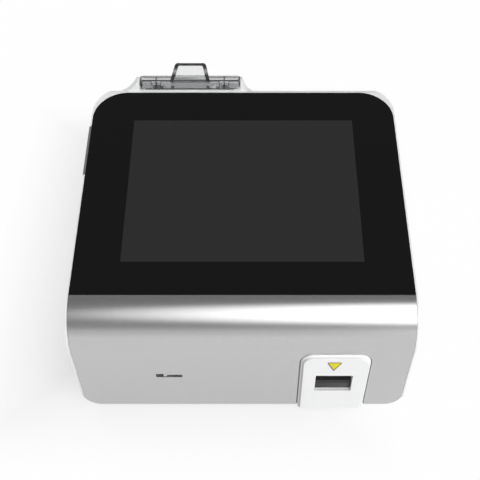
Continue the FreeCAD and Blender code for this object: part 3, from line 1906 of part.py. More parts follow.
def make_tab():
    """Make the pull tab: a tapered plate with a raised rim on three sides."""

    def plan(inset, front):
        root = d.tab_root_width / 2 - inset
        tip = d.tab_tip_width / 2 - inset
        reach = d.tab_reach - inset
        corner = d.tab_corner - inset
        return [
            (-root, front),
            (root, front),
            (tip, reach - corner, corner * 1.05),
            (tip - corner, reach),
            (-tip + corner, reach, corner * 1.05),
            (-tip, reach - corner),
        ]

    block = extrude("XY_Plane", plan(no_gap, no_gap), d.tab_height, "tab")
    hollow = extrude("XY_Plane", plan(d.tab_rim, size(-1)), d.tab_height, "tab_hollow")
    for piece, rise in ((block, no_gap), (hollow, d.tab_sheet)):
        turn(piece, (1, 0, 0), d.tab_rise)
        y = back_edge_y + d.lid_fold - rise * sin(d.tab_rise)
        z = back_edge_z + d.lid_rise - d.tab_sheet + rise * cos(d.tab_rise)
        place(piece, lid_middle, y, z)
    return cut(block, hollow)


platen_y = back_edge_y + d.platen_rise
platen_z = back_edge_z - d.platen_drop
gear_x = lid_middle + d.frame_spread + d.frame_sheet + d.gear_gap


def mesh_place(y, z, teeth, more_teeth, angle):
    """Give where the next gear of the train sits: at the pitch distance, at an angle."""
    distance = d.gear_module * (teeth + more_teeth) / 2 + d.gear_slack
    return y + distance * cos(angle), z + distance * sin(angle)


idler_y, idler_z = mesh_place(platen_y, platen_z, d.platen_teeth, d.idler_teeth, d.idler_angle)
pinion_y, pinion_z = mesh_place(idler_y, idler_z, d.idler_teeth, d.pinion_teeth, d.pinion_angle)


def gear_shape(teeth, bore, phase):
    """Make a spur gear's solid along X, with one tooth centred at the phase angle."""
    module = d.gear_module.value
    count = int(round(teeth.value))
    pitch_radius = module * count / 2
    tip = pitch_radius + module * 0.9
    root = pitch_radius - module * 1.15
    rise = [(root, 0.36), (pitch_radius, 0.235), (tip, 0.11)]
    flank = [(reach, -width) for reach, width in rise] + rise[::-1]
    points = []
    for index in range(count):
        middle = math.radians(phase) + 2 * math.pi * index / count
        for reach, width in flank:
            angle = middle + width * 2 * math.pi / count
            points.append(V(0, reach * math.cos(angle), reach * math.sin(angle)))
    wire = Part.makePolygon(points + points[:1])
    blank = Part.Face(wire).extrude(V(d.gear_face.value, 0, 0))
    hole = Part.makeCylinder(bore.value, d.gear_face.value + 2, V(-1, 0, 0), V(1, 0, 0))
    return blank.cut(hole)


def make_gear(node, teeth, bore, y, z, phase):
    """Make one gear of the train at its place."""
    gear = doc.addObject("Part::Feature", unique("gear"))
    gear.Shape = gear_shape(teeth, bore, phase)
    place(gear, gear_x, y, z)
    return keep(gear, node)


def tooth_phases():
    """Give each gear's turn, so that a tooth of one gear stands in a gap of the next at rest."""
    to_idler = d.idler_angle.value
    to_pinion = d.pinion_angle.value
    platen_phase = to_idler
    idler_phase = to_idler + 180 + 180 / d.idler_teeth.value
    step = 360 / d.idler_teeth.value
    offset = (to_pinion - idler_phase) / step
    offset -= math.floor(offset)
    pinion_step = 360 / d.pinion_teeth.value
    pinion_phase = to_pinion + 180 + pinion_step / 2 + offset * pinion_step
    return platen_phase, idler_phase, pinion_phase


def make_printer():
    """Make the thermal printer: frame, platen, gears, motor, print head, springs and paper bin."""
    platen_phase, idler_phase, pinion_phase = tooth_phases()
    shaft_start = lid_middle - d.frame_spread - d.frame_sheet
    shaft_end = gear_x + d.gear_face
    roller_start = lid_middle - d.platen_length / 2
    roller = rod(roller_start, platen_y, platen_z, d.platen_radius, d.platen_length, "X")
    shaft = rod(shaft_start, platen_y, platen_z, d.platen_shaft, shaft_end - shaft_start, "X")
    keep(fuse(roller, shaft), "platen_roller")
    make_gear("platen_gear", d.platen_teeth, d.platen_shaft, platen_y, platen_z, platen_phase)
    idler_bore = d.platen_shaft + d.run_gap
    make_gear("idler_gear", d.idler_teeth, idler_bore, idler_y, idler_z, idler_phase)
    make_gear("motor_pinion", d.pinion_teeth, d.platen_shaft, pinion_y, pinion_z, pinion_phase)
    sheet_thick = d.frame_sheet
    case_y = pinion_y - d.gear_case_front
    case_z = pinion_z - d.gear_case_drop
    case_height = d.gear_case_height
    cheek_y = platen_y - d.cheek_front
    cheek_z = platen_z - d.cheek_drop
    right_x = lid_middle + d.frame_spread
    gear_plate_x = gear_x + d.gear_face + d.gear_gap
    left_cheek, right_cheek = [
        box(x, cheek_y, cheek_z, sheet_thick, d.cheek_depth, d.cheek_height)
        for x in (shaft_start, right_x)
    ]
    gear_cheek = box(right_x, case_y, case_z, sheet_thick, platen_y - case_y, case_height)
    gear_plate = box(gear_plate_x, case_y, case_z, sheet_thick, d.gear_case_depth, case_height)
    case_width = gear_plate_x + sheet_thick - right_x
    case_front = box(right_x, case_y, case_z, case_width, d.gear_case_wall, case_height)
    inner_width = right_x + sheet_thick - shaft_start
    crossbar = box(shaft_start, cheek_y, cheek_z, inner_width, sheet_thick, d.cheek_height)
    idler_stud = rod(right_x, idler_y, idler_z, d.platen_shaft, gear_x + d.gear_face - right_x, "X")
    shaft_fit = d.platen_shaft + d.run_gap
    shaft_bore = rod(shaft_start - 1, platen_y, platen_z, shaft_fit, inner_width + 2, "X")
    motor_bore = rod(gear_x, pinion_y, pinion_z, shaft_fit, case_width, "X")
    frame = fuse(left_cheek, right_cheek, gear_cheek, gear_plate, case_front, crossbar)
    frame = fuse(cut(frame, shaft_bore, motor_bore), idler_stud)
    keep(frame, "printer_frame")
    motor_x = gear_plate_x + sheet_thick
    can = rod(motor_x, pinion_y, pinion_z, d.printer_motor_radius, d.printer_motor_length, "X")
    socket_bore = rod(motor_x - 1, pinion_y, pinion_z, shaft_fit, d.spindle_room + 1, "X")
    keep(cut(can, socket_bore), "printer_motor")
    spindle_length = motor_x + d.spindle_reach - gear_x
    spindle = rod(gear_x, pinion_y, pinion_z, d.platen_shaft, spindle_length, "X")
    keep(spindle, "motor_spindle")
    head_y = platen_y - d.platen_radius - d.head_gap - d.head_thick
    head = box(
        lid_middle - d.head_width / 2,
        head_y,
        platen_z - d.head_height / 2 - d.head_drop,
        d.head_width,
        d.head_thick,
        d.head_height,
    )
    keep(head, "print_head")
    spring_y = cheek_y + sheet_thick
    spring_z = platen_z - d.spring_drop
    springs = []
    for x in (lid_middle - d.spring_spread, lid_middle + d.spring_spread):
        springs.append(rod(x, spring_y, spring_z, d.spring_radius, head_y - spring_y, "Y"))
    keep(group(*springs), "head_springs")
    make_bin()


def make_bin():
    """Make the paper bin: a half-round tub under the lid, open at the back and above."""
    center_y = back_edge_y - d.bin_back
    center_z = back_edge_z - d.bin_drop
    outer = d.bin_radius + d.bin_wall
    length = d.bin_length + 2 * d.bin_wall
    left = lid_middle - length / 2
    start = lid_middle - d.bin_length / 2
    back = rear_y - d.case_wall - d.fit_gap
    round_out = rod(left, center_y, center_z, outer, length, "X")
    floor_out = box(left, center_y, center_z - outer, length, back - center_y, outer)
    round_in = rod(start, center_y, center_z, d.bin_radius, d.bin_length, "X")
    hollow_depth = back - center_y + 1
    floor_in = box(start, center_y, center_z - d.bin_radius, d.bin_length, hollow_depth, d.bin_radius)
    over = box(left - 1, center_y - outer - 1, center_z, length + 2, outer * 3, outer + 2)
    beyond = box(left - 1, back, center_z - outer - 1, length + 2, outer, outer + 2)
    tub = cut(fuse(round_out, floor_out), round_in, floor_in, over, beyond)
    keep(tub, "paper_bin")


def make_ribbon():
    """Make the flat cable that hangs from the display board to the main board."""
    behind_glass = d.lcd_thick + d.bracket_sheet + d.display_spacer + d.display_board_thick
    board_low = -d.glass_thick - behind_glass
    top_y, top_z = on_slope(lcd_front + lcd_run / 2 - d.ribbon_top, board_low)
    foot_z = plate_top + d.standoff_height + d.board_thick
    foot_y = main_board_front + d.ribbon_foot
    thick = d.ribbon_thick
    corners = [
        (foot_y, foot_z),
        (foot_y + thick, foot_z),
        (top_y + thick, top_z),
        (top_y, top_z),
    ]
    body = extrude("YZ_Plane", corners, d.ribbon_width, "ribbon")
    place(body, main_board_left + d.ribbon_left)
    keep(body, "display_ribbon")


make_housing()
make_front_cover()
make_glass_and_display()
make_bezel()
make_tray()
make_chassis()
make_optics()
make_chip_reader()
make_base()
make_boards()
make_rear_sockets()
make_power_entry()
make_side_port()
make_printer_lid()
make_printer()
make_ribbon()
doc.recompute()

failed = [thing.Label for thing in doc.Objects if {"Invalid", "Error"} & set(thing.State)]
for node, thing in parts.items():
    if thing.Shape.isNull() or not thing.Shape.isValid() or not thing.Shape.Solids:
        failed.append(node)
if failed:
    raise RuntimeError(f"failed: {failed}")

os.makedirs("parts", exist_ok=True)
for node, thing in parts.items():
    thing.Shape.exportStep(f"parts/{node}.step")
print(len(parts), "pieces,", sum(len(thing.Shape.Solids) for thing in parts.values()), "solids")
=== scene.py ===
"""Looks of a bench-top immunofluorescence analyzer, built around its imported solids.

Every piece is in metres in the frame of the solids: X to the right, Y to the back, Z up, with the origin on
the table plane. Shapes are points worked out with numpy, and every finish is made of shader nodes.
"""

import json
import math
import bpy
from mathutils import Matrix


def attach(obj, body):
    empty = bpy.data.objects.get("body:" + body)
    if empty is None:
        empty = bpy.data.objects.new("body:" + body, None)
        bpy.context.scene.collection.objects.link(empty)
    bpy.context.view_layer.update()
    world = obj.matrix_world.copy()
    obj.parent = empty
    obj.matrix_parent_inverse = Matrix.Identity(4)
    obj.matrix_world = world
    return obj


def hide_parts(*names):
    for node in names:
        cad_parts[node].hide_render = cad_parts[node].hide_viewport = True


bl_info = {
    "name": "Immunofluorescence Analyzer",
    "version": (1, 0, 0),
    "blender": (4, 5, 0),
    "location": "View3D > Sidebar > Analyzer",
    "description": "Finishes, detailed pieces, light and camera for the analyzer",
    "category": "Object",
}

import bpy
import numpy as np
from mathutils import Matrix, Vector

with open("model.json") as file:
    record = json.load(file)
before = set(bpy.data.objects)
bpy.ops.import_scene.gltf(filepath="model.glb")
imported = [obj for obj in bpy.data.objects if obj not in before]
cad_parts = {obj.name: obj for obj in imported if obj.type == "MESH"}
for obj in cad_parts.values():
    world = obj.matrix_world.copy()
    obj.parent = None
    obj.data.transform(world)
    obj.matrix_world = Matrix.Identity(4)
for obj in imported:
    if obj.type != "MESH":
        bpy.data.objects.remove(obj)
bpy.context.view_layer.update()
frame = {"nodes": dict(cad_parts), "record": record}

MM = 0.001
TILT = math.radians(10.4)

# Places and lengths of the solids that the pieces here meet, in millimetres. The glass's edges and the lid's axis
# are (y, z), the tab's foot is (back, up) from the glass's rear edge, and the jack nuts are (x, z).
GLASS_FRONT = (-82.389, 99.0)
GLASS_REAR = (88.064, 130.284)
LID_MIDDLE = -40.65
LID_AXIS = (93.264, 131.584)
HINGE_SPREAD = 26.0
EAR_ROOM = 3.1
EAR_HALF = 3.2
KNUCKLE_HALF = 1.3
CATCH_SPREAD = 13.4
TAB_RISE = math.radians(20.8)
TAB_FOOT = (6.5, 4.4)
TAB_REACH = 16.8
BEZEL_FACE = -109.0
COVER_FACE = -106.4
TRAY_FACE = -106.7
REAR_FACE = 94.464
SLOT_MIDDLE = 62.0
ROCKER_MIDDLE = -54.0
NETWORK_MIDDLE = 24.0
USB_MIDDLE = 44.0
JACK_NUTS = ((57.5, 23.85), (82.5, 23.85))
SPRING_SPREAD = 16.0
SPRING_AXIS_Z = 115.984


class AnalyzerSizes(bpy.types.PropertyGroup):
    """Sizes of the pieces that are modelled here."""

    lid_width: bpy.props.FloatProperty(
        name="Lid width", description="Width of the clear printer lid", default=0.0761, unit="LENGTH"
    )
    lid_sheet: bpy.props.FloatProperty(
        name="Lid wall", description="Wall of the clear lid", default=0.0016, unit="LENGTH"
    )
    tab_rim: bpy.props.FloatProperty(
        name="Tab rim", description="Width of the raised rim of the pull tab", default=0.0027, unit="LENGTH"
    )
    window_width: bpy.props.FloatProperty(
        name="Display width", description="Width of the lit area", default=0.162, unit="LENGTH"
    )
    window_run: bpy.props.FloatProperty(
        name="Display height", description="Height of the lit area, up the slope", default=0.1215, unit="LENGTH"
    )
    window_start: bpy.props.FloatProperty(
        name="Display start", description="From the glass's front edge to the lit area", default=0.0246, unit="LENGTH"
    )


class AnalyzerColours(bpy.types.PropertyGroup):
    """Colours of the main finishes."""

    case: bpy.props.FloatVectorProperty(
        name="Case", description="White moulded case", subtype="COLOR", size=4, default=(0.84, 0.845, 0.85, 1)
    )
    cover: bpy.props.FloatVectorProperty(
        name="Cover", description="Silver paint of the front cover", subtype="COLOR", size=4,
        default=(0.54, 0.54, 0.545, 1),
    )
    glass: bpy.props.FloatVectorProperty(
        name="Border", description="Black print behind the glass", subtype="COLOR", size=4,
        default=(0.0022, 0.0022, 0.0022, 1),
    )
    window: bpy.props.FloatVectorProperty(
        name="Display", description="Unlit display behind the glass", subtype="COLOR", size=4,
        default=(0.0235, 0.0235, 0.0238, 1),
    )
    mark: bpy.props.FloatVectorProperty(
        name="Mark", description="Yellow insertion mark", subtype="COLOR", size=4, default=(0.8, 0.7, 0.004, 1)
    )


def sizes():
    return bpy.context.scene.analyzer_sizes


def colours():
    return bpy.context.scene.analyzer_colours


# Shader maths


class Value:
    """A number in a material: Python's operators on it add Math nodes."""

    def __init__(self, tree, socket):
        self.tree = tree
        self.socket = socket

    def math(self, operation, *others, swap=False):
        node = self.tree.nodes.new("ShaderNodeMath")
        node.operation = operation
        terms = [self, *others]
        if swap:
            terms.reverse()
        for slot, term in zip(node.inputs, terms):
            if isinstance(term, Value):
                self.tree.links.new(term.socket, slot)
            else:
                slot.default_value = float(term)
        return Value(self.tree, node.outputs[0])

    def __add__(self, other):
        return self.math("ADD", other)

    __radd__ = __add__

    def __sub__(self, other):
        return self.math("SUBTRACT", other)

    def __rsub__(self, other):
        return self.math("SUBTRACT", other, swap=True)

    def __mul__(self, other):
        return self.math("MULTIPLY", other)

    __rmul__ = __mul__

    def __truediv__(self, other):
        return self.math("DIVIDE", other)

    def __rtruediv__(self, other):
        return self.math("DIVIDE", other, swap=True)

    def __neg__(self):
        return self.math("MULTIPLY", -1)

    def __abs__(self):
        return self.math("ABSOLUTE")

    def __gt__(self, other):
        return self.math("GREATER_THAN", other)

    def __lt__(self, other):
        return self.math("LESS_THAN", other)

    def clamped(self):
        """Keep the number between 0 and 1."""
        return self.math("MAXIMUM", 0).math("MINIMUM", 1)


class Finish:
    """A material that is being made: its tree, its shader and its coordinates."""

    def __init__(self, name):
        self.material = bpy.data.materials.new(name)
        self.material.use_nodes = True
        self.tree = self.material.node_tree
        self.tree.nodes.clear()
        self.shader = self.node("ShaderNodeBsdfPrincipled")
        self.output = self.node("ShaderNodeOutputMaterial")
        self.tree.links.new(self.shader.outputs[0], self.output.inputs[0])
        self.coordinates = self.node("ShaderNodeTexCoord").outputs["Object"]
        self.axes = None

    def node(self, kind, settings=None, **values):
        """Add a node: settings first, then the values or links of its inputs."""
        node = self.tree.nodes.new(kind)
        for key, value in (settings or {}).items():
            setattr(node, key, value)
        for key, value in values.items():
            self.give(node.inputs[key.replace("_", " ")], value)
        return node

    def give(self, slot, value):
        """Set or link one input of a node."""
        if isinstance(value, Value):
            self.tree.links.new(value.socket, slot)
        elif isinstance(value, bpy.types.NodeSocket):
            self.tree.links.new(value, slot)
        else:
            slot.default_value = value

    def set(self, **values):
        """Set or link inputs of the main shader."""
        for key, value in values.items():
            self.give(self.shader.inputs[key.replace("_", " ")], value)

    def axis(self, index):
        """Give one object coordinate as a number."""
        if self.axes is None:
            self.axes = self.node("ShaderNodeSeparateXYZ", Vector=self.coordinates)
        return Value(self.tree, self.axes.outputs[index])

    def stretched(self, scale):
        """Give the object coordinates with each axis scaled."""
        node = self.node("ShaderNodeVectorMath", {"operation": "MULTIPLY"})
        self.tree.links.new(self.coordinates, node.inputs[0])
        node.inputs[1].default_value = scale
        return node.outputs[0]

    def noise(self, scale, detail=2.0, roughness=0.5, vector=None):
        """Give smooth noise from 0 to 1; scale is in features per metre."""
        node = self.node(
            "ShaderNodeTexNoise", Vector=vector or self.coordinates, Scale=scale, Detail=detail, Roughness=roughness
        )
        return Value(self.tree, node.outputs[0])

    def cells(self, scale, shaded=False):
        """Give the distance to the nearest of scattered points, or a number that each point's cell has for itself."""
        node = self.node("ShaderNodeTexVoronoi", Vector=self.coordinates, Scale=scale)
        if shaded:
            node = self.node("ShaderNodeSeparateColor", Color=node.outputs[1])
        return Value(self.tree, node.outputs[0])

    def facing(self, blend):
        """Give 0 where the surface faces the viewer and 1 at its outline."""
        return Value(self.tree, self.node("ShaderNodeLayerWeight", Blend=blend).outputs["Facing"])

    def mix(self, factor, first, second):
        """Mix two colours."""
        node = self.node("ShaderNodeMix", {"data_type": "RGBA", "clamp_factor": True})
        for index, value in ((0, factor), (6, first), (7, second)):
            self.give(node.inputs[index], value)
        return node.outputs[2]

    def bump(self, height, strength, distance, normal=None):
        """Raise the surface by a height from 0 to 1."""
        node = self.node("ShaderNodeBump", Height=height, Strength=strength, Distance=distance)
        if normal is not None:
            self.tree.links.new(normal, node.inputs["Normal"])
        return node.outputs[0]


def grey(level):
    return (level, level, level, 1.0)


def shade(colour, factor):
    """Scale a colour's brightness in Python."""
    return tuple(min(1.0, c * factor) for c in colour[:3]) + (1.0,)


finishes = {}


def finish(make):
    """List a function that fills a material under its own name, and let it make that material only once."""
    made = []

    def once():
        if not made:
            base = Finish(make.__name__)
            make(base)
            made.append(base.material)
        return made[0]

    finishes[make.__name__] = once
    return once


@finish
def case_white(f):
    """Satin white moulding: spark-eroded grain, a faint cloud in its colour, and smoked grey hinge ears."""
    colour = tuple(colours().case)
    grain = f.noise(2600, 3, 0.6)
    cloud = f.noise(14, 2)
    ears = abs(abs(f.axis(0) - LID_MIDDLE * MM) - HINGE_SPREAD * MM) < EAR_HALF * MM
    ears = ears * (abs(f.axis(1) - (LID_AXIS[0] + 0.236) * MM) < 2.6 * MM) * (f.axis(2) > (LID_AXIS[1] - 1.984) * MM)
    f.set(
        Base_Color=f.mix(ears, f.mix(cloud, shade(colour, 0.975), shade(colour, 1.02)), grey(0.13)),
        Roughness=0.36 + 0.1 * grain + 0.04 * cloud,
        Normal=f.bump(grain, 0.12, 0.00006),
        IOR=1.5,
    )


@finish
def silver_paint(f):
    """Silver paint: aluminium flakes that each lie a little differently under a clear coat."""
    colour = tuple(colours().cover)
    flake = f.cells(5200, shaded=True)
    cloud = f.noise(9, 2)
    peel = f.noise(420, 2)
    f.set(
        Base_Color=f.mix(flake, shade(colour, 0.93), shade(colour, 1.07)),
        Metallic=0.86 + 0.1 * flake,
        Roughness=0.18 + 0.05 * flake + 0.03 * cloud,
        Normal=f.bump(peel, 0.02, 0.00005, f.bump(flake, 0.03, 0.00002)),
    )


@finish
def black_glass(f):
    """Touch glass with a black printed border; the unlit display's dot grid shows through its window."""
    x = f.axis(0)
    along = (f.axis(1) - GLASS_FRONT[0] * MM) * math.cos(TILT) + (f.axis(2) - GLASS_FRONT[1] * MM) * math.sin(TILT)
    half = sizes().window_width / 2
    run = sizes().window_run / 2
    middle = sizes().window_start + run
    blur = 0.35 * MM
    window = ((half - abs(x)) / blur).clamped() * ((run - abs(along - middle)) / blur).clamped()
    pitch = 0.21 * MM
    columns = (x / pitch).math("FRACT") > 0.82
    rows = (along / pitch).math("FRACT") > 0.82
    dots = columns.math("MAXIMUM", rows)
    ink = f.noise(60, 3)
    border = f.mix(ink, shade(tuple(colours().glass), 0.85), shade(tuple(colours().glass), 1.15))
    panel = f.mix(dots, tuple(colours().window), shade(tuple(colours().window), 0.86))
    smear = f.noise(11, 3, 0.6)
    f.set(
        Base_Color=f.mix(window, border, panel),
        Roughness=0.035 + 0.03 * smear,
        IOR=1.5,
        Normal=f.bump(f.noise(90, 1), 0.01, 0.0001),
    )


@finish
def display_grey(f):
    """The display panel: a dark face with fine brushed back sheet."""
    streak = f.noise(1.0, 3, 0.6, f.stretched((60, 2400, 2400)))
    f.set(
        Base_Color=f.mix(streak, grey(0.022), grey(0.034)),
        Roughness=0.34 + 0.1 * streak,
        Normal=f.bump(streak, 0.08, 0.00004),
    )


@finish
def bezel_white(f):
    """Satin white moulding, slightly wavy, with painted shade that greys the bevel where it leaves the face, more on
    the left bevel.
    """
    wave = f.noise(75, 2)
    speck = f.noise(1900, 2)
    # Painted shade: a band of the bevel next to the face is greyed, more at the left, which faces away from the
    # lamps.
    rim = (1.5 - abs(f.axis(1) - (BEZEL_FACE + 0.7) * MM) / (0.5 * MM)).clamped()
    left = f.axis(0) < 0.0425
    white = f.mix(wave, (0.9, 0.905, 0.907, 1), (0.925, 0.928, 0.93, 1))
    f.set(
        Base_Color=f.mix(rim * (0.45 + 0.2 * left), white, grey(0.45)),
        Roughness=0.4 + 0.08 * speck,
        Specular_IOR_Level=0.3,
        Normal=f.bump(wave, 0.03, 0.0002, f.bump(speck, 0.03, 0.00003)),
    )


@finish
def dark_plastic(f):
    """Dark grey moulding with a coarse textured grain."""
    grain = f.noise(1500, 4, 0.65)
    cloud = f.noise(25, 2)
    f.set(
        Base_Color=f.mix(cloud, (0.042, 0.042, 0.045, 1), (0.056, 0.056, 0.06, 1)),
        Roughness=0.48 + 0.14 * grain,
        Normal=f.bump(grain, 0.25, 0.00008),
    )


@finish
def tray_black(f):
    """Matt black moulding of the cartridge tray, darker than the dark plastic of its grip: painted shade for its
    place inside the slot.
    """
    grain = f.noise(1700, 3, 0.6)
    f.set(
        Base_Color=f.mix(grain, grey(0.014), grey(0.022)),
        Roughness=0.55 + 0.15 * grain,
        Normal=f.bump(grain, 0.2, 0.00006),
    )


@finish
def port_grey(f):
    """Soft mid-grey moulding of the side port's cover."""
    grain = f.noise(1900, 3, 0.6)
    along = f.noise(1.0, 2, 0.5, f.stretched((30, 30, 600)))
    f.set(
        Base_Color=f.mix(along, (0.13, 0.132, 0.135, 1), (0.165, 0.167, 0.17, 1)),
        Roughness=0.45 + 0.12 * grain,
        Normal=f.bump(grain, 0.16, 0.00006),
    )


@finish
def clear_plastic(f):
    """Clear polycarbonate, smoked at its front lip: flow lines, fine scratches, and painted shade that darkens it
    towards its outline.
    """
    flow = f.noise(1.0, 3, 0.5, f.stretched((40, 220, 220)))
    scratch = f.noise(1.0, 2, 0.5, f.stretched((30, 3500, 300)))
    behind = ((f.axis(1) - (GLASS_REAR[0] + 6.0) * MM) / (0.5 * MM)).clamped()
    smoked = f.mix(flow, (0.36, 0.37, 0.38, 1), (0.44, 0.45, 0.46, 1))
    tint = f.mix(behind, smoked, (0.94, 0.945, 0.95, 1))
    f.set(
        # Painted shade: the colour darkens towards the outline.
        Base_Color=f.mix(f.facing(0.35).math("POWER", 2.2), tint, (0.2, 0.205, 0.21, 1)),
        Roughness=0.03 + 0.04 * scratch,
        Normal=f.bump(flow, 0.03, 0.0002),
        Transmission_Weight=0.92,
        IOR=1.52,
    )


@finish
def clear_rim_painted_light(f):
    """Thick clear plastic seen along its length, with painted light and shade: a dark core, paler in a band and at
    the middle of the tab's tip, and darker towards its outline.
    """
    bands = f.noise(140, 2, 0.5)
    # Painted light: the dark core, and the paler band about 101.7 mm back and the paler middle of the tab's tip,
    # stand in for how light passes through the clear plastic.
    middle = (1 - abs(f.axis(1) - 101.7 * MM) / (3.0 * MM)).math("MAXIMUM", 0)
    tip = (f.axis(1) > 108.7 * MM) * (abs(f.axis(0) - LID_MIDDLE * MM) < 8.8 * MM)
    painted_light_core = f.mix(bands * 0.2 + middle + 0.9 * tip, grey(0.012), grey(0.5))
    f.set(
        # Painted shade: the colour darkens towards the outline.
        Base_Color=f.mix(f.facing(0.5) * 0.6, painted_light_core, grey(0.02)),
        Roughness=0.04 + 0.05 * bands,
        Normal=f.bump(bands, 0.03, 0.0001),
        Transmission_Weight=0.35,
        IOR=1.52,
    )


@finish
def black_rubber(f):
    """Matt rubber, with fine pores and a bloom."""
    pores = f.cells(2600)
    bloom = f.noise(60, 3, 0.6)
    f.set(
        Base_Color=f.mix(bloom, grey(0.018), grey(0.035)),
        Roughness=0.72 + 0.16 * pores,
        Normal=f.bump(pores, 0.3, 0.00006),
    )


@finish
def gap_shade_grey(f):
    """Grey strip that paints the shade in the gap round the bezel, with fine pores and a bloom."""
    pores = f.cells(2300)
    bloom = f.noise(70, 3, 0.6)
    f.set(
        Base_Color=f.mix(bloom, grey(0.2), grey(0.26)),
        Roughness=0.6 + 0.15 * pores,
        Normal=f.bump(pores, 0.25, 0.00005),
    )


@finish
def steel(f):
    """Ground steel: fine lines round the part's length."""
    lines = f.noise(1.0, 4, 0.7, f.stretched((300, 5200, 5200)))
    f.set(
        Base_Color=f.mix(lines, (0.5, 0.5, 0.51, 1), (0.66, 0.66, 0.67, 1)),
        Metallic=1.0,
        Roughness=0.2 + 0.16 * lines,
        Normal=f.bump(lines, 0.08, 0.00003),
    )


@finish
def sheet_steel(f):
    """Zinc-plated sheet: soft spangles and rolling lines."""
    spangle = f.cells(260, shaded=True)
    lines = f.noise(1.0, 3, 0.6, f.stretched((2400, 90, 2400)))
    f.set(
        Base_Color=f.mix(spangle, (0.48, 0.49, 0.5, 1), (0.62, 0.63, 0.64, 1)),
        Metallic=1.0,
        Roughness=0.3 + 0.12 * lines + 0.05 * spangle,
        Normal=f.bump(lines, 0.08, 0.00004),
    )


@finish
def anodised(f):
    """Black anodised aluminium with a bead-blasted grain."""
    grain = f.noise(3400, 2, 0.6)
    f.set(
        Base_Color=f.mix(grain, grey(0.028), grey(0.05)),
        Metallic=0.6,
        Roughness=0.42 + 0.12 * grain,
        Normal=f.bump(grain, 0.2, 0.00005),
    )


@finish
def brass(f):
    """Turned brass: tool marks across its axis."""
    marks = f.noise(1.0, 3, 0.6, f.stretched((3800, 500, 500)))
    f.set(
        Base_Color=f.mix(marks, (0.62, 0.43, 0.16, 1), (0.78, 0.58, 0.26, 1)),
        Metallic=1.0,
        Roughness=0.22 + 0.14 * marks,
        Normal=f.bump(marks, 0.1, 0.00004),
    )


@finish
def gold_plate(f):
    """Gold-plated contact."""
    marks = f.noise(3000, 2)
    f.set(
        Base_Color=f.mix(marks, (0.78, 0.55, 0.2, 1), (0.9, 0.68, 0.3, 1)),
        Metallic=1.0,
        Roughness=0.2 + 0.1 * marks,
    )


@finish
def circuit_board(f):
    """Green solder mask: tracks that run along X and Y, round vias and a slight weave."""
    x = f.axis(0) / (1.6 * MM)
    y = f.axis(1) / (1.6 * MM)
    swerve = f.noise(160, 1)
    tracks_x = (x + swerve).math("FRACT") < 0.26
    tracks_y = (y + swerve).math("FRACT") < 0.26
    field = f.noise(70, 0) > 0.5
    tracks = tracks_x * field + tracks_y * (1 - field)
    vias = f.cells(420) < 0.22
    weave = f.noise(2500, 1)
    mask = f.mix(tracks, (0.008, 0.09, 0.035, 1), (0.02, 0.15, 0.06, 1))
    f.set(
        Base_Color=f.mix(vias, mask, (0.5, 0.42, 0.25, 1)),
        Roughness=0.3 + 0.1 * weave,
        Metallic=vias * 0.8,
        Normal=f.bump(tracks + 0.3 * weave, 0.2, 0.00004),
    )


@finish
def nylon(f):
    """Moulded nylon of the gears: waxy, with a fine grain."""
    grain = f.noise(1400, 3)
    f.set(
        Base_Color=f.mix(grain, (0.72, 0.7, 0.62, 1), (0.82, 0.8, 0.73, 1)),
        Roughness=0.4 + 0.12 * grain,
        Normal=f.bump(grain, 0.12, 0.00004),
        Subsurface_Weight=0.1,
        Subsurface_Scale=0.002,
    )


@finish
def optical_glass(f):
    """Coated lens glass."""
    film = f.noise(200, 2)
    f.set(
        Base_Color=f.mix(film, (0.86, 0.9, 0.94, 1), (0.92, 0.9, 0.95, 1)),
        Roughness=0.01 + 0.02 * film,
        Transmission_Weight=0.95,
        IOR=1.6,
    )


@finish
def red_filter(f):
    """Deep red filter glass."""
    film = f.noise(160, 2)
    f.set(
        Base_Color=f.mix(film, (0.4, 0.01, 0.012, 1), (0.52, 0.02, 0.02, 1)),
        Roughness=0.03 + 0.03 * film,
        Transmission_Weight=0.5,
        IOR=1.52,
    )


@finish
def ribbon(f):
    """Flat flexible cable: tinned conductors under a pale film."""
    conductor = ((f.axis(0) / (1.0 * MM)).math("FRACT") - 0.5).math("ABSOLUTE") < 0.28
    film = f.noise(300, 2)
    f.set(
        Base_Color=f.mix(conductor, (0.78, 0.78, 0.76, 1), (0.55, 0.56, 0.57, 1)),
        Metallic=conductor * 0.5,
        Roughness=0.3 + 0.15 * film,
        Normal=f.bump(conductor, 0.2, 0.00005),
    )


@finish
def ceramic(f):
    """Glazed ceramic strip of the print head."""
    glaze = f.noise(500, 3)
    f.set(
        Base_Color=f.mix(glaze, (0.66, 0.67, 0.65, 1), (0.76, 0.77, 0.75, 1)),
        Roughness=0.12 + 0.1 * glaze,
        Normal=f.bump(glaze, 0.05, 0.00004),
    )


@finish
def yellow_print(f):
    """Screen-printed yellow ink: nearly flat, with the mesh's faint texture."""
    mesh = f.noise(4200, 1)
    colour = tuple(colours().mark)
    f.set(
        Base_Color=f.mix(mesh, shade(colour, 0.93), shade(colour, 1.03)),
        Roughness=0.42 + 0.1 * mesh,
        Normal=f.bump(mesh, 0.1, 0.00002),
    )


@finish
def dark_print(f):
    """Screen-printed dark ink."""
    mesh = f.noise(4200, 1)
    f.set(
        Base_Color=f.mix(mesh, grey(0.02), grey(0.035)),
        Roughness=0.45 + 0.1 * mesh,
        Normal=f.bump(mesh, 0.1, 0.00002),
    )


# Shapes: a shape is its points, in millimetres, and its faces


def unit(vectors):
    """Give vectors the length 1."""
    return vectors / (np.linalg.norm(vectors, axis=-1, keepdims=True) + 1e-12)


def circle(steps):
    """Give points (cosine, sine) at equal steps once round."""
    angle = np.linspace(0, 2 * math.pi, steps, endpoint=False)
    return np.stack([np.cos(angle), np.sin(angle)], -1)


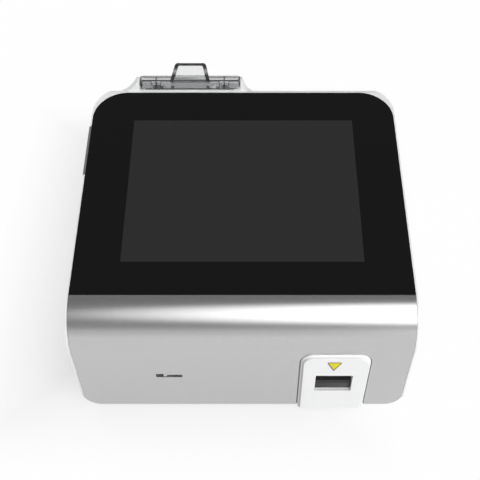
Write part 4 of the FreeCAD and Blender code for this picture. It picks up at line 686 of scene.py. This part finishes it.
def run_length(line):
    """Give the length of a line of runs: the sum of its steps."""
    return np.linalg.norm(np.diff(line, axis=0), axis=1).sum()


def run_share(line):
    """Give each point's distance along a line, as a share of its length."""
    step = np.linalg.norm(np.diff(line, axis=0), axis=1)
    return np.concatenate([[0], np.cumsum(step)]) / step.sum()


def along_path(corners, share):
    """Give the points of a line of runs at shares of its length."""
    own = run_share(corners)
    return np.stack([np.interp(share, own, corners[:, i]) for i in range(corners.shape[1])], -1)


def grid_faces(rows, columns, close_rows=False, close_columns=False):
    """Give the quads between neighbouring rows and columns of a grid of points."""
    r = np.arange(rows if close_rows else rows - 1)
    c = np.arange(columns if close_columns else columns - 1)
    r, c = np.meshgrid(r, c, indexing="ij")
    after_r = (r + 1) % rows
    after_c = (c + 1) % columns
    quads = np.stack([r * columns + c, r * columns + after_c, after_r * columns + after_c, after_r * columns + c], -1)
    return quads.reshape(-1, 4)


def tube_of(rings):
    """Close a stack of closed rings with a cap at each end: rings has the shape (rings, points, 3)."""
    count, around, _ = rings.shape
    faces = grid_faces(count, around, close_columns=True).tolist()
    faces.append(list(range(around))[::-1])
    faces.append(list(range((count - 1) * around, count * around)))
    return rings.reshape(-1, 3), faces


def loop_of(rings):
    """Join a stack of closed rings, the last one to the first."""
    count, around, _ = rings.shape
    return rings.reshape(-1, 3), grid_faces(count, around, close_rows=True, close_columns=True).tolist()


def outward(vertices, polygons):
    """Turn a closed shape's faces over where its volume, the sum of p0 . (p1 x p2) / 6, is negative."""
    volume = 0.0
    for size in {len(polygon) for polygon in polygons}:
        corners = vertices[np.array([polygon for polygon in polygons if len(polygon) == size])]
        volume += (corners[:, :1] * np.cross(corners[:, 1:-1], corners[:, 2:])).sum()
    return polygons if volume > 0 else [polygon[::-1] for polygon in polygons]


def merged(*shapes):
    """Put closed shapes in one, each with its faces turned outward."""
    points = []
    faces = []
    start = 0
    for vertices, polygons in shapes:
        points.append(vertices)
        faces += [[index + start for index in polygon] for polygon in outward(vertices, polygons)]
        start += len(vertices)
    return np.concatenate(points), faces


def rounded_path(corners, radii, steps=6):
    """Carry a line through corners, each replaced by an arc that is tangent to both runs.

    At a corner with turn a and radius r the arc starts r tan(a/2) before it. Its points are that start plus
    r sin(b) along the first run and r (1 - cos(b)) square to it, with b from 0 to a.
    """
    corners = np.asarray(corners, float)
    pieces = [corners[:1]]
    for before, at, after, radius in zip(corners[:-2], corners[1:-1], corners[2:], radii):
        into = unit(at - before)
        out = unit(after - at)
        turn = math.acos(np.clip(into @ out, -1, 1))
        start = at - into * radius * math.tan(turn / 2)
        normal = unit(out - into * (into @ out))
        angle = np.linspace(0, turn, steps)[:, None]
        pieces.append(start + radius * (np.sin(angle) * into + (1 - np.cos(angle)) * normal))
    pieces.append(corners[-1:])
    return np.concatenate(pieces)


def rounded_outline(half_x, half_y, radius, steps=5):
    """Give a closed rounded rectangle, anticlockwise: four quarter arcs about the inset corners."""
    angle = np.linspace(0, math.pi / 2, steps)
    arcs = []
    for quarter, (sx, sy) in enumerate(((1, 1), (-1, 1), (-1, -1), (1, -1))):
        swing = angle + quarter * math.pi / 2
        x = sx * (half_x - radius) + radius * np.cos(swing)
        y = sy * (half_y - radius) + radius * np.sin(swing)
        arcs.append(np.stack([x, y], -1))
    return np.concatenate(arcs)


def swept(profile, path, up, width=1.0, closed=False):
    """Carry a closed profile (side, rise) along a path: point = path + width * side * across + rise * lift.

    Across is square to the path and to up, and lift to the path and across. The width may change along the path.
    """
    width = np.broadcast_to(width, len(path))[:, None, None]
    along = unit(np.roll(path, -1, 0) - np.roll(path, 1, 0) if closed else np.gradient(path, axis=0))
    across = unit(np.cross(along, up))
    lift = np.cross(across, along)
    rings = path[:, None] + width * profile[None, :, :1] * across[:, None] + profile[None, :, 1:] * lift[:, None]
    return loop_of(rings) if closed else tube_of(rings)


def wire(path, radius):
    """Sweep a circle along a line of points, held square to Z, or to X where the line runs up."""
    steepest = abs(unit(np.gradient(path, axis=0))[:, 2]).max()
    up = (0.0, 0.0, 1.0) if steepest < 0.95 else (1.0, 0.0, 0.0)
    return swept(radius * circle(8), path, np.array(up))


def turned(profile, steps):
    """Spin a profile of (radius, height) about Z; both ends of the profile are closed."""
    round_z = circle(steps)
    rings = [np.column_stack([radius * round_z, np.full(steps, height)]) for radius, height in profile]
    return tube_of(np.stack(rings))


def inset_outline(outline, amount):
    """Move a closed anticlockwise outline inwards by an amount, mitred at its corners."""
    into = unit(outline - np.roll(outline, 1, 0))
    both = into + unit(np.roll(outline, -1, 0) - outline)
    normal = unit(np.stack([-both[:, 1], both[:, 0]], -1))
    cosine = np.clip((normal * np.stack([-into[:, 1], into[:, 0]], -1)).sum(1), 0.35, 1)
    return outline + normal * (amount / cosine)[:, None]


def slab(outline, low, high, bevel):
    """Make a plate of an outline, with both rims rounded over: insets follow a quarter circle."""
    angle = np.linspace(0, math.pi / 2, 4)
    inset = bevel * (1 - np.sin(angle))
    rise = bevel * (1 - np.cos(angle))
    levels = [*zip(inset, low + rise), *zip(inset[::-1], high - rise[::-1])]
    rings = [np.column_stack([inset_outline(outline, depth), np.full(len(outline), z)]) for depth, z in levels]
    return tube_of(np.stack(rings))


def make_piece(name, shape, material, body, smooth=40):
    """Turn a shape into a finished piece that rides on a body, smooth over edges up to an angle in degrees."""
    vertices, faces = shape
    mesh = bpy.data.meshes.new(name)
    mesh.from_pydata((np.asarray(vertices) * MM).tolist(), [], faces)
    mesh.update()
    piece = bpy.data.objects.new(name, mesh)
    bpy.context.scene.collection.objects.link(piece)
    mesh.materials.append(material)
    mesh.shade_smooth()
    mesh.set_sharp_from_angle(angle=math.radians(smooth))
    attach(piece, body)
    return piece


class ANALYZER_OT_finish_solids(bpy.types.Operator):
    """Give every solid the finish of its material slot, but the cartridge tray a darker finish of painted shade"""

    bl_idname = "analyzer.finish_solids"
    bl_label = "Finish the solids"

    def execute(self, context):
        for part in frame["record"]["subparts"]:
            solid = frame["nodes"][part["node"]]
            # The cartridge tray takes a darker finish than its slot's, as painted shade inside the slot.
            material = finishes["tray_black" if part["node"] == "cartridge_tray" else part["material_slot"]]()
            if not solid.material_slots:
                solid.data.materials.append(material)
            for slot in solid.material_slots:
                slot.material = material
        return {"FINISHED"}


# The printer lid: points (x, back, up) about its middle and the glass's rear edge


def from_hinge(points):
    """Take points (x, back, up) about the lid's middle and the glass's rear edge to the main frame."""
    return points + np.array([LID_MIDDLE, *GLASS_REAR])


def upright(points, x):
    """Stand a plate's points (back, up, side) on edge at x."""
    return np.column_stack([x + points[:, 2], points[:, :2]])


def lid_profile():
    """Give the lid's outer line (back, up) from its front lip over the crown to the foot of its rear skirt."""
    lip = np.linspace((3.5, 0.6), (5.18, 3.4), 4)[:-1]
    top = rounded_path([(5.18, 3.4), (6.5, 5.6), (12.0, 5.6), (15.2, -1.0), (15.2, -6.0)], [1.6, 2.6, 5.0], 7)
    skirt = np.linspace((15.2, -6.0), (15.2, -43.4), 9)[1:]
    return np.concatenate([lip, top, skirt])


def lid_shell():
    """Make the clear lid's outer sheet as one grid: profile points by stations along X.

    Near each end the stations shrink the profile by r (1 - cos a) while they move out by r sin a, which
    rounds the end; the last stations carry it across the end wall to the inner edge. The lip's points slide up
    the profile over the last stretch, which cuts its corners. Cells of the lip beside each hinge are left out,
    where the ears stand.
    """
    outer = lid_profile()
    share = run_share(outer)
    length = run_length(outer)
    inner = along_path(np.array([(5.1, 0.2), (11.2, -6.0), (11.2, -43.4)]), share)
    tangent = unit(np.gradient(outer, axis=0))
    inward = np.stack([tangent[:, 1], -tangent[:, 0]], -1)
    half = sizes().lid_width / MM / 2
    radius = 1.9
    cut_height, cut_width, cut_run = 3.0, 4.2, 5.0
    notches = [side + edge for side in (-HINGE_SPREAD, HINGE_SPREAD) for edge in (-EAR_ROOM, EAR_ROOM)]
    flat = [*np.linspace(radius - half, notches[0], 6)[1:], *np.linspace(notches[1], notches[2], 6)]
    flat += np.linspace(notches[3], half - radius, 6)[:-1].tolist()
    angle = np.linspace(0, math.pi / 2, 7)
    ends = [(half - radius + radius * math.sin(a), radius * (1 - math.cos(a)), 0.0) for a in angle]
    ends += [(half, radius, across) for across in (0.33, 0.66, 1.0)]
    stations = [(-x, shrink, across) for x, shrink, across in ends[::-1]]
    stations += [(x, 0.0, 0.0) for x in flat] + ends
    lip_end = np.clip(1 - share * length / cut_run, 0, 1)
    rows = []
    for x, shrink, across in stations:
        cut = cut_height * np.clip((abs(x) - half + cut_width) / cut_width, 0, 1) * lip_end
        lifted = along_path(outer, share + cut / length)
        line = (lifted + inward * shrink) * (1 - across) + inner * across
        rows.append(np.column_stack([np.full(len(line), x), line]))
    grid = np.stack(rows)
    faces = grid_faces(*grid.shape[:2])
    x, back, up = grid.reshape(-1, 3)[faces].mean(1).T
    notched = (np.abs(np.abs(x) - HINGE_SPREAD) < EAR_ROOM) & (back < 7.0) & (up < 3.4)
    return from_hinge(grid.reshape(-1, 3)), faces[~notched].tolist()


def on_lid(x, run):
    """Give the points of the lid's outer sheet at x and at a run in millimetres from its front lip."""
    line = lid_profile()
    return np.column_stack([x, along_path(line, run / run_length(line))])


def lid_bead(left, right, low, high, corner):
    """Make a thin round bead that follows a rounded rectangle on the lid's sheet."""
    outline = rounded_outline((right - left) / 2, (high - low) / 2, corner, 6)
    outline += np.array([(left + right) / 2, (low + high) / 2])
    loop = along_path(np.concatenate([outline, outline[:1]]), np.linspace(0, 1, 160, endpoint=False))
    path = on_lid(loop[:, 0], loop[:, 1])
    off_sheet = (path - np.array([0.0, 9.0, -8.0])) * np.array([0.0, 1.0, 1.0])
    points, faces = swept(0.3 * circle(8), path, off_sheet, closed=True)
    return from_hinge(points), faces


def lid_beads():
    """Make the beads round the lip's three panels and the crown, and the rib above each hinge."""
    edge = sizes().lid_width / MM / 2 - 0.9
    inner, outer = HINGE_SPREAD - EAR_ROOM - 0.5, HINGE_SPREAD + EAR_ROOM + 0.5
    panels = ((-edge, -outer), (-inner, inner), (outer, edge))
    beads = [lid_bead(left, right, 0.6, 6.0, 1.2) for left, right in panels]
    beads.append(lid_bead(-edge, edge, 6.3, 12.6, 1.6))
    run = np.linspace(5.6, 12.4, 24)
    for side in (-HINGE_SPREAD, HINGE_SPREAD):
        beads.append(wire(from_hinge(on_lid(np.full(len(run), side), run)), 0.42))
    return merged(*beads)


def lid_catches():
    """Make the two small catches behind the lip."""
    points, faces = slab(rounded_outline(1.2, 0.7, 0.4), 0.0, 1.3, 0.3)
    places = [np.array([side, 5.9, 0.5]) for side in (-CATCH_SPREAD, CATCH_SPREAD)]
    return merged(*((from_hinge(points + place), faces) for place in places))


def tab_outline(inset):
    """Give the pull tab's outline, tapering to its tip, with round tip corners."""
    root = 15.25 - inset
    tip = 11.8 - inset
    reach = TAB_REACH - inset
    corners = [(root, 0.0), (tip, reach), (-tip, reach), (-root, 0.0)]
    return rounded_path(corners, [3.0 - inset * 0.6] * 2, 8)


def on_tab(shape):
    """Take a shape of points (x, along, out) of the tab to the main frame."""
    x, along, out = shape[0].T
    back = TAB_FOOT[0] + along * math.cos(TAB_RISE) - out * math.sin(TAB_RISE)
    up = TAB_FOOT[1] + along * math.sin(TAB_RISE) + out * math.cos(TAB_RISE)
    return merged((from_hinge(np.column_stack([x, back, up])), shape[1]))


def tab_rim():
    """Sweep the rim's rounded section round the tab's outline; it thins along the middle of the tip."""
    width = sizes().tab_rim / MM
    path = tab_outline(width / 2)
    path = along_path(np.column_stack([path, np.full(len(path), 1.3)]), np.linspace(0, 1, 60))
    at_tip = np.clip((path[:, 1] - TAB_REACH + 3.0) / 2.0, 0, 1) * np.clip((10.2 - abs(path[:, 0])) / 1.5, 0, 1)
    profile = rounded_outline(width / 2, 1.3, 0.5, 4)
    return on_tab(swept(profile, path, np.array([0.0, 0.0, 1.0]), 1.0 - 0.62 * at_tip))


def lid_arms():
    """Make each hinge's arm, a plate on edge, and its knuckle, a bored and chamfered disc round the pin."""
    outline = rounded_path([(5.3, -0.2), (7.0, -0.2), (9.2, 3.9), (6.6, 3.9), (5.3, -0.2)], [0.4] * 3, 4)[:-1]
    arm, arm_faces = slab(outline[::-1], -0.6, 0.6, 0.2)
    half, bore, rim, chamfer = KNUCKLE_HALF, 0.85, 1.7, 0.2
    profile = [(bore, -half), (rim - chamfer, -half), (rim, chamfer - half)]
    profile += [(radius, -height) for radius, height in profile[::-1]]
    knuckle, knuckle_faces = turned(profile, 28)
    shapes = []
    for side in (-HINGE_SPREAD, HINGE_SPREAD):
        shapes.append((from_hinge(upright(arm, side)), arm_faces))
        shapes.append((upright(knuckle + np.array([*LID_AXIS, 0.0]), LID_MIDDLE + side), knuckle_faces))
    return merged(*shapes)


class ANALYZER_OT_printer_lid(bpy.types.Operator):
    """Make the clear printer lid with its pull tab, hinge arms and knuckles"""

    bl_idname = "analyzer.printer_lid"
    bl_label = "Printer lid"

    def execute(self, context):
        shell = make_piece("printer_lid_shell", lid_shell(), clear_plastic(), "printer_cover", 30)
        wall = shell.modifiers.new("Wall", "SOLIDIFY")
        wall.thickness = sizes().lid_sheet
        wall.offset = -1
        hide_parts("printer_cover")
        for name, shape, material in (
            ("printer_lid_beads", lid_beads(), clear_rim_painted_light()),
            ("printer_lid_catches", lid_catches(), dark_plastic()),
            ("printer_lid_tab", on_tab(slab(tab_outline(0.5), 0.1, 1.2, 0.25)), clear_plastic()),
            ("printer_lid_tab_rim", tab_rim(), clear_rim_painted_light()),
            ("printer_lid_hinge_arms", lid_arms(), clear_rim_painted_light()),
        ):
            make_piece(name, shape, material, "printer_cover")
        return {"FINISHED"}


def ink_film(outline, low, high, bevel):
    """Make a film of ink of an outline (x, z), from low to high in front of the bezel's face."""
    points, faces = slab(outline, low, high, bevel)
    return merged((np.column_stack([points[:, 0], BEZEL_FACE - points[:, 2], points[:, 1]]), faces))


class ANALYZER_OT_insert_mark(bpy.types.Operator):
    """Print the plain insertion arrow above the cartridge slot"""

    bl_idname = "analyzer.insert_mark"
    bl_label = "Insertion arrow"

    def execute(self, context):
        arrow = rounded_path([(60.9, 50.6), (66.2, 61.0), (55.6, 61.0), (60.9, 50.6)], [0.9, 0.9])[:-1]
        edge = ink_film(arrow, 0.0, 0.03, 0.01)
        make_piece("insert_mark_edge", edge, dark_print(), "case")
        fill = ink_film(inset_outline(arrow, 0.7), 0.03, 0.05, 0.005)
        make_piece("insert_mark_fill", fill, yellow_print(), "case")
        return {"FINISHED"}


def bezel_gap_shade_strip():
    """Sweep the section of a grey strip round the groove beside the bezel, as painted shade in the gap; it thins at
    the top, as the groove does.
    """
    line = rounded_path([(38.4, 3.3), (38.4, 66.55), (85.6, 66.55), (85.6, 3.3)], [8.75, 8.75], 12)
    line = along_path(line, np.linspace(0, 1, 120))
    path = np.column_stack([line[:, 0], np.full(len(line), COVER_FACE + 1.5), line[:, 1]])
    width = 1 - 0.68 * np.clip((line[:, 1] - 58.0) / 6.0, 0, 1)
    profile = np.array([(-0.35, 0.0), (0.35, 0.0), (0.35, 0.75), (0.2, 0.95), (-0.2, 0.95), (-0.35, 0.75)])
    return merged(swept(profile, path, np.array([0.0, -1.0, 0.0]), width))


def tray_grip():
    """Carry the grip's section along X, its ends sunk; its front is 0.42 + 0.16 cos^2 deep, eight ribs high."""
    low, high, back = 26.7, 32.1, TRAY_FACE + 0.05
    share = np.linspace(0, 1, 61)
    ribs = 0.42 + 0.16 * np.cos(8 * math.pi * share) ** 2
    ribs *= np.clip(np.minimum(share, 1 - share) / 0.04, 0, 1)
    front = np.column_stack([TRAY_FACE - ribs, low + (high - low) * share])
    section = np.concatenate([front, [(back, high), (back, low)]])
    rings = []
    for side, sink in ((-1.0, 0.35), (-0.97, 0.0), (0.97, 0.0), (1.0, 0.35)):
        y = np.minimum(section[:, 0] + sink, TRAY_FACE + 0.1)
        rings.append(np.column_stack([np.full(len(section), SLOT_MIDDLE + 11.3 * side), y, section[:, 1]]))
    return merged(tube_of(np.stack(rings)))


class ANALYZER_OT_front_details(bpy.types.Operator):
    """Make the grey strip of painted shade in the groove round the bezel, and the ribbed grip on the tray's nose"""

    bl_idname = "analyzer.front_details"
    bl_label = "Bezel seal and tray grip"

    def execute(self, context):
        make_piece("bezel_gap_shade_strip", bezel_gap_shade_strip(), gap_shade_grey(), "case", 50)
        make_piece("tray_grip", tray_grip(), dark_plastic(), "cartridge_tray", 50)
        return {"FINISHED"}


def network_contacts():
    """Bend eight sprung wires, 1.02 mm apart, down into the network socket."""
    bend = rounded_path([(94.0, 29.1), (93.0, 28.6), (86.0, 25.5), (84.4, 25.7)], [0.8, 0.8], 5)
    places = NETWORK_MIDDLE + 1.02 * (np.arange(8) - 3.5)
    return merged(*(wire(np.column_stack([np.full(len(bend), x), bend]), 0.2) for x in places))


def usb_contacts():
    """Lay four flat contacts under each tongue of the stacked sockets."""
    points, faces = slab(rounded_outline(0.5, 3.9, 0.3), -0.14, 0.0, 0.03)
    places = [(USB_MIDDLE + side, 88.4, under) for under in (21.7, 30.7) for side in (-3.5, -1.0, 1.0, 3.5)]
    return merged(*((points + np.array(place), faces) for place in places))


def jack_nut(x, z):
    """Make a hexagonal jack nut: the rings follow r = a / cos(angle from the nearest flat), then its bore."""
    steps = 48
    angle = np.linspace(0, 2 * math.pi, steps, endpoint=False)
    hexagon = 2.4 / np.cos((angle + math.pi / 6) % (math.pi / 3) - math.pi / 6)
    profile = [(hexagon, 0.0), (hexagon, 4.3), (hexagon - 0.3, 4.6), (1.45, 4.6), (1.3, 4.4), (1.3, 1.0)]
    rings = [
        np.column_stack([x + radius * np.cos(angle), np.full(steps, REAR_FACE + out), z + radius * np.sin(angle)])
        for radius, out in profile
    ]
    return tube_of(np.stack(rings))


def rocker_marks():
    """Make the rocker's bar, flat on its raised half, and its ring, a torus on the other."""
    lean = math.radians(16.4)
    points, faces = slab(rounded_outline(0.4, 1.8, 0.3), 0.0, 0.08, 0.02)
    x, up, out = points.T
    y = 97.5 + up * math.sin(lean) + out * math.cos(lean)
    z = 34.45 + up * math.cos(lean) - out * math.sin(lean)
    big, small = circle(40), circle(8)
    radius = 1.45 + 0.2 * small[:, 0]
    depth = np.broadcast_to(96.05 + 0.12 * small[:, 1], (40, 8))
    rings = np.stack([ROCKER_MIDDLE + big[:, :1] * radius, depth, 25.6 + big[:, 1:] * radius], -1)
    return merged((np.column_stack([ROCKER_MIDDLE - x, y, z]), faces), loop_of(rings))


class ANALYZER_OT_rear_details(bpy.types.Operator):
    """Make the contacts of the network and USB sockets, the jack nuts and the rocker's on and off marks"""

    bl_idname = "analyzer.rear_details"
    bl_label = "Socket contacts and rocker marks"

    def execute(self, context):
        make_piece("network_contacts", network_contacts(), gold_plate(), "case")
        make_piece("usb_contacts", usb_contacts(), gold_plate(), "case")
        nuts = merged(*(jack_nut(x, z) for x, z in JACK_NUTS))
        make_piece("serial_jack_nuts", nuts, steel(), "case")
        make_piece("rocker_marks", rocker_marks(), bezel_white(), "power_rocker")
        return {"FINISHED"}


def coil(x):
    """Wind a spring of five and a half turns about Y: its pitch opens between closed end turns."""
    turn = np.linspace(0, 2 * math.pi * 5.5, 200)
    opened = np.clip((turn - 2 * math.pi * 0.7) / (2 * math.pi * 4.1), 0, 1)
    y = 85.16 + 0.012 * turn + 2.38 * opened
    return wire(np.column_stack([x + 1.65 * np.cos(turn), y, SPRING_AXIS_Z + 1.65 * np.sin(turn)]), 0.27)


class ANALYZER_OT_springs(bpy.types.Operator):
    """Make the two coil springs that press the print head against the platen"""

    bl_idname = "analyzer.springs"
    bl_label = "Print head springs"

    def execute(self, context):
        coils = merged(*(coil(LID_MIDDLE + side) for side in (-SPRING_SPREAD, SPRING_SPREAD)))
        springs = make_piece("print_head_coils", coils, steel(), "case")
        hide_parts("head_springs")
        return {"FINISHED"}


class ANALYZER_OT_stage(bpy.types.Operator):
    """Set up the floor, the lights, the surroundings and the camera"""

    bl_idname = "analyzer.stage"
    bl_label = "Stage"

    def execute(self, context):
        make_floor()
        make_world()
        make_lights()
        make_camera()
        context.scene.view_settings.view_transform = "Standard"
        return {"FINISHED"}


def make_floor():
    """Make the floor: a wide white sheet with painted shade near the object's left half, on top of its rendered
    shadow, and plain white further off.
    """
    mesh = bpy.data.meshes.new("floor")
    size = 6.0
    mesh.from_pydata([(-size, -size, 0), (size, -size, 0), (size, size, 0), (-size, size, 0)], [], [(0, 1, 2, 3)])
    floor = bpy.data.objects.new("floor", mesh)
    bpy.context.scene.collection.objects.link(floor)
    f = Finish("floor_white")
    cloud = f.noise(3, 2)
    f.set(Base_Color=f.mix(cloud, grey(0.54), grey(0.56)), Roughness=0.9, Specular_IOR_Level=0.0)
    # Painted shade: within about 10 cm of a box over the object's left half the floor shows less glow and more of its
    # own lit grey. So it reads darker there even where no shadow falls, and its rendered shadow shows through that
    # grey.
    painted_shade_distance = (abs(f.axis(0) + 0.05) - 0.06).math("MAXIMUM", abs(f.axis(1) - 0.04) - 0.1).math("MAXIMUM", 0)
    out_of_painted_shade = (painted_shade_distance / 0.1).math("MINIMUM", 1).math("SMOOTH_MIN", 1, 0.3)
    light_path = f.node("ShaderNodeLightPath")
    seen = Value(f.tree, light_path.outputs["Is Camera Ray"]).math(
        "MAXIMUM", Value(f.tree, light_path.outputs["Is Glossy Ray"])
    ).math("MAXIMUM", Value(f.tree, light_path.outputs["Is Transmission Ray"]))
    glow = f.node("ShaderNodeEmission", Color=(1, 1, 1, 1), Strength=1.18 - 0.18 * out_of_painted_shade)
    blend = f.node("ShaderNodeMixShader")
    f.give(blend.inputs["Fac"], seen * (0.4 + 0.6 * out_of_painted_shade))
    f.tree.links.new(f.shader.outputs[0], blend.inputs[1])
    f.tree.links.new(glow.outputs[0], blend.inputs[2])
    f.tree.links.new(blend.outputs[0], f.output.inputs[0])
    mesh.materials.append(f.material)


def make_world():
    """Light the surroundings: dim overhead and behind, brighter low in front, most near the horizon and right."""
    world = bpy.data.worlds.new("studio")
    bpy.context.scene.world = world
    world.use_nodes = True
    tree = world.node_tree
    tree.nodes.clear()
    output = tree.nodes.new("ShaderNodeOutputWorld")
    place = tree.nodes.new("ShaderNodeTexCoord")
    axes = tree.nodes.new("ShaderNodeSeparateXYZ")
    tree.links.new(place.outputs["Generated"], axes.inputs[0])
    right, back, up = (Value(tree, socket) for socket in axes.outputs)
    low = (1.25 * (1 - up)).math("MINIMUM", 1)
    front = (1.4 * -back + 0.1).clamped()
    side = (right - 0.12).math("MAXIMUM", 0)
    glow = ((0.38 - up) / 0.2).clamped()
    level = 0.18 + low * front * (0.16 + 2.3 * side) + 0.44 * glow * front
    around = tree.nodes.new("ShaderNodeBackground")
    around.inputs[0].default_value = (1, 1, 1, 1)
    tree.links.new(level.socket, around.inputs[1])
    behind = tree.nodes.new("ShaderNodeBackground")
    behind.inputs[0].default_value = (1, 1, 1, 1)
    behind.inputs[1].default_value = 1.0
    light_path = tree.nodes.new("ShaderNodeLightPath")
    blend = tree.nodes.new("ShaderNodeMixShader")
    tree.links.new(light_path.outputs["Is Camera Ray"], blend.inputs[0])
    tree.links.new(around.outputs[0], blend.inputs[1])
    tree.links.new(behind.outputs[0], blend.inputs[2])
    tree.links.new(blend.outputs[0], output.inputs[0])


def soft_box(name, place, target, width, height, level):
    """Place an oval soft box that looks at a point, its width along X; a level of 1 is white."""
    lamp = bpy.data.lights.new(name, "AREA")
    lamp.shape = "ELLIPSE"
    lamp.size = width
    lamp.size_y = height
    lamp.energy = level * math.pi * (math.pi * width * height / 4)
    thing = bpy.data.objects.new(name, lamp)
    bpy.context.scene.collection.objects.link(thing)
    away = (Vector(place) - Vector(target)).normalized()
    side = Vector((1, 0, 0))
    side = (side - side.dot(away) * away).normalized()
    thing.matrix_world = Matrix.Translation(place) @ Matrix((side, away.cross(side), away)).transposed().to_4x4()


def make_lights():
    """Place the key lamp up in front, a low lamp on the right and one up behind on the left.

    The key lamp is eight ovals, one in another, that share their right end, so it fades out to its left.
    """
    right_end = 1.36
    for layer, width in enumerate((1.93, 1.86, 1.79, 1.71, 1.63, 1.56, 1.49, 1.42)):
        place = (right_end - width / 2, -0.872, 1.26)
        soft_box(f"key_{layer}", place, (0.0, -0.09, 0.08), width, 1.565 - 0.05 * layer, 0.31)
    soft_box("right", (0.95, -0.95, 0.32), (0.05, -0.05, 0.05), 0.9, 0.7, 2.5)
    soft_box("left", (-0.85, 0.85, 0.85), (0.0, 0.0, 0.1), 1.0, 1.0, 2.9)


def make_camera():
    """Place the camera where the picture was taken from, in front and above."""
    camera = bpy.data.cameras.new("camera")
    camera.lens = 57.5
    camera.sensor_width = 36
    camera.shift_x = -0.02
    camera.clip_start = 0.01
    thing = bpy.data.objects.new("camera", camera)
    thing.location = (0.0048, -0.3859, 0.4904)
    thing.rotation_euler = (math.radians(41.9), 0, 0)
    bpy.context.scene.collection.objects.link(thing)
    bpy.context.scene.camera = thing


class ANALYZER_PT_panel(bpy.types.Panel):
    """List the analyzer's sizes, colours and pieces"""

    bl_idname = "ANALYZER_PT_panel"
    bl_label = "Analyzer"
    bl_space_type = "VIEW_3D"
    bl_region_type = "UI"
    bl_category = "Analyzer"

    def draw(self, context):
        for group in (context.scene.analyzer_sizes, context.scene.analyzer_colours):
            for name in group.__annotations__:
                self.layout.prop(group, name)
        for operator in OPERATORS:
            self.layout.operator(operator.bl_idname)


OPERATORS = (
    ANALYZER_OT_finish_solids,
    ANALYZER_OT_printer_lid,
    ANALYZER_OT_insert_mark,
    ANALYZER_OT_front_details,
    ANALYZER_OT_rear_details,
    ANALYZER_OT_springs,
    ANALYZER_OT_stage,
)
CLASSES = (AnalyzerSizes, AnalyzerColours, *OPERATORS, ANALYZER_PT_panel)


def register():
    for cls in CLASSES:
        bpy.utils.register_class(cls)
    bpy.types.Scene.analyzer_sizes = bpy.props.PointerProperty(type=AnalyzerSizes)
    bpy.types.Scene.analyzer_colours = bpy.props.PointerProperty(type=AnalyzerColours)


def unregister():
    del bpy.types.Scene.analyzer_colours
    del bpy.types.Scene.analyzer_sizes
    for cls in reversed(CLASSES):
        bpy.utils.unregister_class(cls)


def main():
    """Register the classes and make every piece."""
    register()
    bpy.ops.analyzer.finish_solids()
    bpy.ops.analyzer.printer_lid()
    bpy.ops.analyzer.insert_mark()
    bpy.ops.analyzer.front_details()
    bpy.ops.analyzer.rear_details()
    bpy.ops.analyzer.springs()
    bpy.ops.analyzer.stage()


if __name__ == "__main__":
    main()
